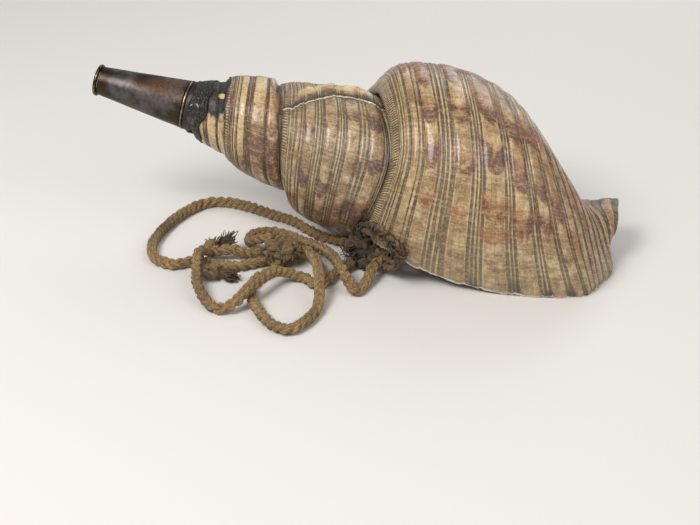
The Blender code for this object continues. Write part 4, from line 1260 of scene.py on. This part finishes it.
def make_shell_lining():
    """The smooth inside of the mouth: orange cream, white towards the lip."""
    finish = Finish("shell_lining", Roughness=0.22, Coat_Weight=0.4, Coat_Roughness=0.1)
    where = finish.place()
    cloud = finish.noise(where, 30.0, 3.0)
    wash = finish.noise(where, 8.0, 2.0)
    edge, teeth = finish.mark("edge"), finish.mark("teeth")
    tooth = finish.wave(finish.mark("tooth"))
    color = finish.layers(
        finish.mix(finish.step(cloud, 0.35, 0.65), paint(214, 176, 132), paint(188, 138, 92)),
        (finish.step(wash, 0.45, 0.62) * 0.5, (226, 206, 178)),
        (finish.step(tooth, 0.6, 0.9) * teeth, (108, 62, 42)),
        (finish.step(edge + (cloud - 0.5) * 0.6, 0.4, 0.7), (232, 224, 208)),
    )
    bump = cloud * 0.4 + tooth * teeth
    return finish.surface(color, bump=bump, bump_depth=0.0005)


shell_skin = make_shell_skin()
shell_lining = make_shell_lining()
print("shell finishes:", len(shell_skin.node_tree.nodes), len(shell_lining.node_tree.nodes), "nodes")

# %% [markdown]
# ## The marks, the curl of the lip and the siphon's rim
# The sheet gets its numbers here: where it is stained, where its creases get painted shade, and where it
# is patched or smeared. Then two short sheets close its open edges, one over the lip and one into the end
# of the siphon, so that the shell has a thickness wherever its wall can be seen. A Solidify modifier
# could thicken all of it, but rows of their own keep the ribs and nicks of the lip's edge.

# %% Build the outside of the shell
# Places with a colour of their own, as (turn, reach in turns, share, reach in shares, strength)
WARM_PLACES = ((-0.41, 0.060, 0.40, 0.40, 1.0), (-0.28, 0.08, 1.05, 0.30, 0.8),
               (-2.30, 0.05, 0.92, 0.14, 1.0), (-2.02, 0.05, 0.85, 0.25, 1.0),
               (-1.03, 0.04, 0.26, 0.10, 0.9), (-1.20, 0.03, 0.36, 0.06, 0.7),
               (-1.42, 0.05, 0.12, 0.12, 1.0), (-0.08, 0.05, 1.10, 0.30, 0.6),
               (-0.20, 0.14, 1.30, 0.24, 0.8))
BRUISED_PLACES = ((-2.11, 0.085, 0.74, 0.28, 1.2), (-2.20, 0.06, 0.66, 0.14, 0.8),
                  (-1.01, 0.045, 0.62, 0.32, 1.2), (-1.10, 0.03, 0.60, 0.10, 0.7),
                  (-1.17, 0.035, 0.74, 0.14, 0.8), (-3.10, 0.06, 0.95, 0.10, 0.6))
GREY_PLACES = ((-1.12, 0.16, 0.55, 0.50, 0.9), (-0.14, 0.05, 0.30, 0.20, 0.6),
               (-0.06, 0.05, 0.80, 0.40, 0.6), (-1.86, 0.20, 0.50, 0.40, 0.5))
# Dark patches behind the lip, as (place, half width, reach in turns)
LIP_PATCHES = ((0.585, 0.018, 0.022), (0.728, 0.026, 0.036), (0.850, 0.026, 0.032),
               (0.955, 0.030, 0.028), (1.065, 0.036, 0.026), (1.20, 0.04, 0.018), (1.36, 0.03, 0.016),
               (1.52, 0.03, 0.016))


def placed(table, turn, shares):
    """Strongest of the listed places at each point."""
    value = np.zeros(turn.shape)
    for middle, reach, share, wide, strength in table:
        value = np.maximum(value, strength * near(turn, middle, reach) * near(shares, share, wide))
    return value


def lip_patches(turn, place):
    """How dark the patches behind the lip are at each point."""
    patch = np.zeros(turn.shape)
    for middle, half, reach in LIP_PATCHES:
        ragged = reach * (1.0 + 0.35 * np.sin(place * 300.0))
        across = clamped(1.6 - 1.2 * ((place - middle) / half) ** 2)
        patch = np.maximum(patch, across * clamped(1.4 + 1.4 * turn / ragged))
    return patch


def shell_marks(turns, row_shares):
    """Everything that the shell's finish reads."""
    turn = np.broadcast_to(turns[:, None], row_shares.shape)
    place = np.broadcast_to(columns[None, :], row_shares.shape)
    start = np.interp(turn, (-1.04, -0.96), (BEAD_BAND[0], 0.016))
    band = clamped(np.minimum(place - start, BEAD_BAND[1] - place) / 0.010)
    band = band * clamped((turn + 2.7) / 0.1)
    # Painted shade in the creases at the sutures, where one whorl meets the next
    crease = near(row_shares, 0.0, 0.018) + near(row_shares, 1.0, 0.016) * (turn < -1.0)
    lip = clamped(1.0 + turn / 0.0028) * clamped((place - WHITE_FROM) / WHITE_RISE)
    behind = scar_turn(row_shares) - turn
    rise = clamped((row_shares - 0.18) / 0.20) * clamped((1.05 - row_shares) / 0.10)
    angle = (turn * 360.0 + math.degrees(LIP_ANGLE)) % 360.0
    smear = near(angle, 112.0, 46.0) * (turn < -3.02) * 1.25
    smear = np.maximum(smear, near(angle, 92.0, 26.0) * (turn > -2.6) * (turn < -2.2)
                       * near(row_shares, 0.0, 0.10))
    spot = near(turn, -3.284, 0.014) * near(row_shares, 0.82, 0.10)
    smear = smear - 1.6 * spot
    tables = {"warm": WARM_PLACES, "bruise": BRUISED_PLACES, "grey": GREY_PLACES}
    marks = {name: placed(table, turn, row_shares) for name, table in tables.items()}
    return {"turn": turn, "place": place, "relief": np.broadcast_to(relief, row_shares.shape),
            "band": band, "crease": clamped(crease), "edge": lip, "spot": spot, "behind": behind,
            "rise": rise, "smear": clamped(smear), "patch": lip_patches(turn, place), "brown": brown,
            "tick": np.broadcast_to(tick_phase[:, None], turn.shape), **marks}


lifted_to(outside, SKIN_FLOOR)
# The front end of the inner whorls lies inside the shell, and the tip is cut off under the pitch
hidden = (row_shares > HIDDEN_SHARE) & (turns[:, None] < HIDDEN_TURN)
cut_away = ((outside - axis_points(np.array(SHELL_CUT - CUT_MARGIN), 0.0, 0.0))
            @ np.array([math.cos(AXIS_TILT), 0.0, -math.sin(AXIS_TILT)])) < 0.0
keep = ~(hidden | cut_away)
keep = keep[:-1, :-1] & keep[1:, :-1] & keep[1:, 1:] & keep[:-1, 1:]
skin = Form()
skin.grid(outside, keep=keep, **shell_marks(turns, row_shares))

# The edge of the lip curls over a half circle to the inner face
curl = []
lifted = raised(0.0, row_shares[-1], relief)
for step in range(1, LIP_STEPS + 1):
    angle = math.pi * step / LIP_STEPS
    down = WALL / 2 * (1.0 - math.cos(angle))
    out = WALL / 2 * math.sin(angle) / (2 * math.pi * LIP_RADIUS)
    curl.append(shell_row(0.0, row_shares[-1], lifted - down * 0.7, push + out))
curl = lifted_to(np.array([outside[-1]] + curl), SKIN_FLOOR)
white = clamped((columns - WHITE_FROM) / WHITE_RISE)[None, :]
skin.grid(curl, turn=0.0, place=columns[None, :], relief=relief[None, :], edge=white, behind=1.0)

# The siphon ends in a hollow rim, as (inset, depth)
SIPHON_RIM = ((0.0, 0.0), (0.0006, -0.0006), (0.0015, -0.0009), (0.0024, -0.0006), (0.0030, 0.0),
              (0.0040, 0.004), (0.0065, 0.0115), (0.0100, 0.0125), (0.0400, 0.0130))
rim = []
for inset, depth in SIPHON_RIM:
    ring = []
    for turn in turns[turns >= -1.0 - 1e-9]:
        axial, radius = profile_row(turn, np.array([2.0]))[0][0]
        ring.append(axis_points(np.array([axial - depth]), max(radius - inset, LEAST_RADIUS),
                                LIP_ANGLE + 2 * math.pi * turn)[0])
    rim.append(ring)
skin.grid(lifted_to(np.array(rim), SKIN_FLOOR), turn=-0.5, place=2.0, relief=0.6, warm=0.4, behind=1.0)
install(skin.build("shell_skin", shell_skin), "shell", "shell")

# %% [markdown]
# ## The inside of the mouth
# The hollow is a tube too. Its outer side is the inner face of the wall, one wall thickness in from
# the ribs, and its floor is the whorl before, covered with a thin smooth callus. Two sheets are made
# from the same tables, because thickening the outside would give the wall but not the floor.

# %% Line the mouth
CALLUS = 0.0008
LINING_START = -1.35
HOLLOW_LAST = ((-3.0, 1.45), (-0.9, 1.60), (-0.6, 1.45), (-0.35, 1.42), (-0.125, 1.70), (0.0, 1.93))
LINING_COLUMNS = 60
LINING_ROWS = 150
TEETH = 30.0
LINING_FLOOR = 0.0001
lining = Form()
lining_turns = np.linspace(LINING_START, 0.0, LINING_ROWS)
wall_rows, floor_rows = [], []
for turn in lining_turns:
    last = float(smooth_table(HOLLOW_LAST, turn)[0])
    shares = np.linspace(0.03 + 0.08 * float(near(turn, -0.45, 0.30)), last, LINING_COLUMNS)
    ripple = 0.0005 * np.interp(shares, columns, relief) * clamped(1.0 + turn / 0.1)
    nudge = np.interp(shares, columns, push) * clamped(1.0 + turn / 0.03)
    thick = -WALL + (WALL * 0.3) * clamped(1.0 + turn / 0.02)
    wall_rows.append(shell_row(turn, shares, thick + ripple - whorl_hollow(turn, shares), nudge))
    here, _ = profile_row(turn, shares)
    before = profile_stations(turn - 1.0)[WHORL_SPANS:]
    axial = np.linspace(here[0, 0], here[-1, 0], LINING_COLUMNS)
    radius = np.interp(axial, before[:, 0], before[:, 1]) + CALLUS
    roof = here[:, 1] - whorl_hollow(turn, shares)
    radius = np.minimum(radius, np.interp(axial, here[:, 0], roof) - WALL - 0.001)
    floor_rows.append(axis_points(axial, radius, LIP_ANGLE + 2 * math.pi * turn))
wall = lifted_to(np.array(wall_rows), LINING_FLOOR)
floor = lifted_to(np.array(floor_rows), LINING_FLOOR)
edge = np.broadcast_to(clamped(1.0 + lining_turns / 0.015)[:, None], wall.shape[:2])
edge = edge * clamped((np.linspace(0.0, 2.0, LINING_COLUMNS) - 0.14) / 0.06)[None, :]
teeth = np.broadcast_to(clamped(1.0 + lining_turns / 0.04)[:, None], wall.shape[:2])
tooth = np.linspace(0.0, TEETH, LINING_COLUMNS)[None, :]
lining.grid(wall, edge=edge, teeth=teeth, tooth=tooth, flip=True)
lining.grid(floor, edge=0.0, teeth=0.0, tooth=0.0)
for column in (0, -1):
    lining.grid(np.stack([wall[:, column], floor[:, column]], axis=1), edge=edge[:, :2])
install(lining.build("shell_lining", shell_lining), "shell")

# %% [markdown]
# ## Brass
# The mouthpiece is old sheet brass. It has gone dark brown with cloudy patches of violet grey sheen, an
# orange rust colour on top near the seam, and an olive lower side. The rim and the seam ring stand proud,
# so they are rubbed bright, and their widest line also gets a pale painted highlight. All of that is
# colour, metallic share and roughness.

# %% Brass finishes
def make_brass(name, base, sheen, patch, olive, wear, rough):
    """Old brass: a dark skin with cloudy patches, worn bright and given a pale painted highlight where
    the wear mark says.
    """
    finish = Finish(name, Metallic=1.0)
    where = finish.place()
    cloud = finish.noise(where, 46.0, 4.0, 0.6)
    broad = finish.noise(where, 19.0, 3.0, 0.55)
    fine = finish.noise(where, 380.0, 4.0, 0.7)
    rub = finish.noise(finish.vector(finish.mark("along") * 900.0, finish.mark("around") * 6.0), 1.0, 3.0)
    rusty = finish.step(finish.mark("rust") + (cloud - 0.5) * 1.6 + (fine - 0.5) * 0.9, 0.30, 1.0)
    green = finish.step(finish.mark("under") + (broad - 0.5) * 1.1, 0.6, 1.0)
    worn = finish.step(finish.mark("wear") * wear + (fine - 0.5) * 0.9 + (cloud - 0.5) * 0.8, 0.55, 0.95)
    color = finish.layers(
        finish.mix(finish.step(cloud, 0.44, 0.66) * (0.4 + broad), paint(*base), paint(*sheen)),
        (rusty * 0.72, finish.mix(finish.step(fine, 0.4, 0.6), paint(*patch), paint(*base))),
        (green * 0.8, olive),
        # Pale on the crests: rubbed metal, and a painted highlight along the widest line
        (worn * 0.9, (184, 166, 132)),
        (finish.step(fine, 0.55, 0.75) * 0.55, (36, 29, 24)),
    )
    bump = rub * 0.3 + cloud * 0.7 + fine * 0.35
    roughness = rough + (cloud - 0.5) * 0.40 - worn * 0.14 + rusty * 0.18
    metallic = 0.92 - rusty * 0.50 - green * 0.25
    return finish.surface(color, roughness=roughness, bump=bump, bump_depth=0.00025, metallic=metallic)


def make_pitch():
    """Black pitch, set in soft lumps, glossy on the crowns, with pale specks painted as glints, and brown
    where it is thin.
    """
    finish = Finish("black_pitch", Coat_Roughness=0.12, Specular_IOR_Level=0.35)
    where = finish.place()
    lumps = finish.spread(where, 150.0, 3.0, 0.55)
    fine = finish.spread(where, 800.0, 4.0, 0.75)
    dust = finish.spread(where, 70.0, 3.0, 0.6)
    color = finish.layers(
        finish.mix(dust, paint(14, 12, 12), paint(34, 28, 27)),
        # Pale specks: painted glints
        (finish.step(fine, 0.66, 1.00) * 0.70, (110, 98, 90)),
        (finish.step(finish.mark("thin") + (lumps - 0.5) * 0.6, 0.45, 0.85), (58, 38, 28)),
    )
    bump = lumps * 0.25 + fine * 0.40
    return finish.surface(color, roughness=0.30 + fine * 0.35, bump=bump, bump_depth=0.0007,
                          coat=0.10 + finish.mark("blob") * 0.6)


# Each metal as (base, sheen, patch, olive, strength of wear and painted highlight, roughness)
METALS = {
    "aged_brass": ((60, 51, 40), (104, 100, 101), (112, 68, 28), (104, 92, 34), 0.30, 0.44),
    "worn_brass": ((48, 39, 26), (72, 60, 43), (76, 52, 30), (80, 70, 38), 1.0, 0.40),
    "grey_metal": ((66, 58, 57), (92, 85, 88), (60, 46, 36), (70, 62, 48), 0.20, 0.50),
}
metals = {name: make_brass(name, *look) for name, look in METALS.items()}
black_pitch = make_pitch()
print("metal finishes:", *metals)

# %% [markdown]
# ## The mouthpiece
# Each piece is turned: an outline of radius and place along the axis, taken round. The cone's wall is
# a little uneven, as hand work is, and the cup for the lips sits inside it. A Screw modifier could
# turn an outline too, but rings made here can wander, and each point gets the numbers for its finish.

# %% Turned pieces
SHEET = 0.0010
RIM_RADIUS = 0.0119
RIM_WIDTH = 0.0027
RIM_FLAT = 0.0014
CONE_START_RADIUS = 0.0106
CONE_END_RADIUS = 0.0180
CONE_LENGTH = 0.0660
CUP_RADIUS = 0.0084
CUP_LENGTH = 0.0200
THROAT_RADIUS = 0.0036
THROAT_WALL = 0.0012
RING_WIDTH = 0.0024
RING_PROUD = 0.0005
SKIRT_LENGTH = 0.0065
SKIRT_STEP = 0.0003
SKIRT_FLARE = 0.0014
CONE_START = RIM_WIDTH + SEAT
CONE_END = CONE_START + CONE_LENGTH
RING_START = CONE_END + SEAT
RING_END = RING_START + RING_WIDTH
SKIRT_START = RING_END + SEAT
SKIRT_END = SKIRT_START + SKIRT_LENGTH
TURNED_STEPS = 96
FILLET_STEPS = 4
LONGEST_SIDE = 0.003
# How close to a piece's widest radius its metal is rubbed bright and given a painted highlight
CREST_REACH = 0.00012


def fillet(outline, round_by):
    """The same closed outline with its corners rounded."""
    points = [np.array(p) for p in outline]
    result = []
    for k, corner in enumerate(points):
        before, after = points[k - 1], points[(k + 1) % len(points)]
        reach_before = min(round_by, 0.45 * np.linalg.norm(before - corner))
        reach_after = min(round_by, 0.45 * np.linalg.norm(after - corner))
        a = corner + (before - corner) / np.linalg.norm(before - corner) * reach_before
        b = corner + (after - corner) / np.linalg.norm(after - corner) * reach_after
        for t in np.linspace(0.0, 1.0, FILLET_STEPS + 1):
            result.append((1 - t) ** 2 * a + 2 * t * (1 - t) * corner + t**2 * b)
    return np.array(result)


def divide(outline, longest):
    """The same closed outline with no side longer than longest."""
    result = []
    for k, a in enumerate(outline):
        b = outline[(k + 1) % len(outline)]
        count = max(1, int(math.ceil(np.linalg.norm(b - a) / longest)))
        result += [a + (b - a) * i / count for i in range(count)]
    return np.array(result)


def rust_place(axial, turn):
    """The rust coloured patch: the top of the wide half of the cone."""
    return near(axial, 0.050, 0.023) * near(turn, math.radians(118.0), math.radians(42.0)) * 1.1


def add_turned(form, outline, round_by, dents, wear, rust):
    """Take an outline of (radius, axial) round the axis. rust is the strength of its rusty patch."""
    outline = divide(fillet(outline, round_by), LONGEST_SIDE)
    angles = 2 * math.pi * np.arange(TURNED_STEPS) / TURNED_STEPS
    radius = outline[:, 0][:, None] + np.zeros(TURNED_STEPS)
    axial = outline[:, 1][:, None] + np.zeros(TURNED_STEPS)
    turn = angles[None, :] + np.zeros_like(radius)
    waves = (np.sin(3 * turn + 260 * axial) + np.sin(2 * turn - 170 * axial + 1.0)
             + np.sin(7 * turn + 90 * axial))
    radius = radius + dents * waves / 3
    points = axis_points(axial, radius, turn)
    points = np.concatenate([points, points[:1]])
    under = clamped(-np.sin(turn - math.radians(20.0)))
    # The widest line of each piece: worn, and painted pale as a highlight
    crest = near(radius, radius.max(), CREST_REACH)
    marks = {"along": axial, "around": turn / (2 * math.pi), "under": under, "wear": wear * crest,
             "rust": rust * rust_place(axial, turn)}
    marks = {name: np.concatenate([mark, mark[:1]]) for name, mark in marks.items()}
    form.grid(points, wrap=True, **marks)


inner = CONE_START_RADIUS - SHEET
crown = RIM_RADIUS - RIM_FLAT
ring_inner = CONE_END_RADIUS - SHEET
# Each piece as (slot, rounding, dents, strength of wear and painted highlight, outline)
turned = {
    "mouthpiece_rim": ("worn_brass", 0.0005, 0.0, 0.72, [
        (RIM_RADIUS - 0.0004, RIM_WIDTH), (RIM_RADIUS, RIM_WIDTH * 0.75), (RIM_RADIUS, RIM_WIDTH * 0.3),
        (RIM_RADIUS - 0.0007, 0.0), (crown - 0.0004, 0.0), (inner - 0.0002, RIM_WIDTH * 0.25),
        (inner - 0.0004, RIM_WIDTH)]),
    "mouthpiece_cone": ("aged_brass", 0.0003, 0.00012, 0.1, [
        (CONE_END_RADIUS, CONE_END), (CONE_START_RADIUS, CONE_START), (inner, CONE_START),
        (ring_inner, CONE_END)]),
    "mouthpiece_cup": ("aged_brass", 0.0006, 0.0, 0.3, [
        (THROAT_RADIUS + THROAT_WALL, CONE_START + CUP_LENGTH),
        (THROAT_RADIUS + THROAT_WALL, CONE_START + CUP_LENGTH - 0.003),
        (inner - SEAT, CONE_START + 0.006), (inner - SEAT, CONE_START), (CUP_RADIUS, CONE_START),
        (CUP_RADIUS * 0.86, CONE_START + 0.004), (CUP_RADIUS * 0.62, CONE_START + 0.010),
        (THROAT_RADIUS, CONE_START + CUP_LENGTH - 0.004), (THROAT_RADIUS, CONE_START + CUP_LENGTH)]),
    "seam_ring": ("worn_brass", 0.0005, 0.0, 0.8, [
        (CONE_END_RADIUS + RING_PROUD * 0.4, RING_END), (CONE_END_RADIUS + RING_PROUD, RING_END - 0.0007),
        (CONE_END_RADIUS + RING_PROUD, RING_START + 0.0007),
        (CONE_END_RADIUS + RING_PROUD * 0.4, RING_START), (ring_inner, RING_START),
        (ring_inner, RING_END)]),
    "ferrule_skirt": ("grey_metal", 0.0003, 0.00008, 0.1, [
        (CONE_END_RADIUS + SKIRT_FLARE, SKIRT_END), (CONE_END_RADIUS + SKIRT_STEP, SKIRT_START),
        (ring_inner + 0.0001, SKIRT_START), (CONE_END_RADIUS + SKIRT_FLARE - SHEET, SKIRT_END)]),
}
for name, (slot, round_by, dents, wear, outline) in turned.items():
    form = Form()
    add_turned(form, outline, round_by, dents, wear, 1.0 if name == "mouthpiece_cone" else 0.0)
    install(form.build(name + "_turned", metals[slot]), slot, name)

# %% [markdown]
# ## The pitch seal
# Pitch laps the skirt, fills the joint and ends on the shell in an uneven edge, in lumps that the
# light catches. One drop is thicker than the rest. It could be sculpted. An outline that changes with
# the angle does as well, and it sits on the skirt and on the shell all the way round.

# %% Pitch
PITCH_LAP = 0.0034
PITCH_REACH = 0.0085
PITCH_WAVE = 0.0022
PITCH_THICKNESS = 0.0006
PITCH_STEPS = 160
PITCH_ROWS = 18
# The thickest drop of pitch, as (axial, angle, half length, half width, height)
PITCH_DROP = (0.0795, math.radians(166.0), 0.0050, 0.46, 0.0010)


def shell_radius(axial, angle):
    """Radius of the shell's outside at an axial place and an angle."""
    first = (angle - LIP_ANGLE) / (2 * math.pi)
    first -= math.ceil(first)
    widest = 0.0
    for whorl in range(4):
        if first - whorl < FIRST_TURN:
            continue
        shares = np.linspace(0.0, 1.0, 33)
        places = profile_row(first - whorl, shares)[0]
        heights = places[:, 1] - whorl_hollow(first - whorl, shares)
        if places[0, 0] <= axial <= places[-1, 0]:
            widest = max(widest, float(np.interp(axial, places[:, 0], heights)))
    return widest + RIB_HEIGHT * 0.5


def pitch_outline(angle):
    """Closed outline (axial, radius) of the pitch at an angle, and how near the drop each point is."""
    end = SHELL_CUT + PITCH_REACH + PITCH_WAVE * math.sin(5 * angle + 0.6) * math.cos(2 * angle)
    lap = SKIRT_END - PITCH_LAP + 0.0006 * math.sin(4 * angle) + 0.0004 * math.sin(11 * angle + 1.0)
    places = np.linspace(lap, end, PITCH_ROWS)
    skirt = CONE_END_RADIUS + SKIRT_STEP
    skirt = skirt + (SKIRT_FLARE - SKIRT_STEP) * (places - SKIRT_START) / SKIRT_LENGTH
    on_shell = np.array([shell_radius(max(place, SHELL_CUT), angle) for place in places])
    share = clamped((places - SKIRT_END + 0.0008) / 0.0030)
    base = skirt * (1.0 - share) + on_shell * share
    middle, turned, half_length, half_width, height = PITCH_DROP
    away = ((places - middle) / half_length) ** 2 + ((angle - turned) / half_width) ** 2
    drop = clamped((1.0 - away) * 4.0)
    lumps = 0.5 + 0.5 * np.sin(9 * angle + 900 * places) * np.sin(5 * angle - 700 * places)
    ends = np.clip(np.minimum(places - lap, end - places) / 0.0006, 0.12, 1.0)
    thickness = PITCH_THICKNESS * (0.6 + 0.6 * lumps) + height * drop * (0.8 + 0.3 * lumps)
    outer = base + SEAT + thickness * ends
    edge = clamped(1.0 - np.abs(1.0 - away) * 7.0)
    points = np.concatenate([np.stack([places, base - SEAT], axis=1),
                             np.stack([places, outer], axis=1)[::-1]])
    return points, np.concatenate([0.0 * drop, drop[::-1]]), np.concatenate([0.0 * edge, edge[::-1]])


pitch_rows, blobs, thins = [], [], []
for k in range(PITCH_STEPS + 1):
    angle = 2 * math.pi * k / PITCH_STEPS
    outline, blob, thin = pitch_outline(angle)
    pitch_rows.append(axis_points(outline[:, 0], outline[:, 1], angle))
    blobs.append(blob)
    thins.append(thin)
form = Form()
form.grid(np.array(pitch_rows), wrap=True, blob=np.array(blobs), thin=np.array(thins))
install(form.build("pitch_seal_lumps", black_pitch), "black_pitch", "pitch_seal")

# %% [markdown]
# ## Studio
# The floor is plain and pale, and it runs far enough to be the background too. One soft lamp stands
# high in front on the left, larger and weaker ones on the right and behind, and the pale sky fills the
# shadows, at a level where a colour renders about as it is written. A photographed sky could light it
# too, but lamps need no file.

# %% Floor, lamps and sky
FLOOR_HALF = 4.0
floor_mesh = bpy.data.meshes.new("floor")
corners = [(x * FLOOR_HALF, y * FLOOR_HALF, 0.0) for x, y in ((-1, -1), (1, -1), (1, 1), (-1, 1))]
floor_mesh.from_pydata(corners, [], [(0, 1, 2, 3)])
floor_piece = bpy.data.objects.new("floor", floor_mesh)
bpy.context.scene.collection.objects.link(floor_piece)
floor_finish = Finish("floor", Roughness=0.8)
floor_finish.feed(floor_finish.shader.inputs["Base Color"], paint(226, 223, 218))
floor_mesh.materials.append(floor_finish.material)


def add_lamp(name, place, target, size, power, color=(1.0, 1.0, 1.0)):
    """Square soft lamp that faces a target."""
    data = bpy.data.lights.new(name, "AREA")
    data.size = size
    data.energy = power
    data.color = color
    lamp = bpy.data.objects.new(name, data)
    lamp.location = place
    lamp.rotation_euler = (Vector(target) - Vector(place)).to_track_quat("-Z", "Y").to_euler()
    bpy.context.scene.collection.objects.link(lamp)


MIDDLE = (0.0, 0.0, 0.05)
add_lamp("key", (-0.55, -0.75, 1.15), MIDDLE, 0.60, 15.0, (1.0, 0.98, 0.95))
add_lamp("fill", (1.10, -0.60, 0.80), MIDDLE, 1.00, 5.0, (0.96, 0.98, 1.0))
add_lamp("back", (0.30, 1.20, 0.90), MIDDLE, 1.00, 6.0)
world = bpy.data.worlds.new("studio_sky")
world.use_nodes = True
sky = world.node_tree.nodes["Background"]
sky.inputs["Color"].default_value = paint(235, 236, 238)
sky.inputs["Strength"].default_value = 0.45
bpy.context.scene.world = world
bpy.context.scene.view_settings.view_transform = "Standard"
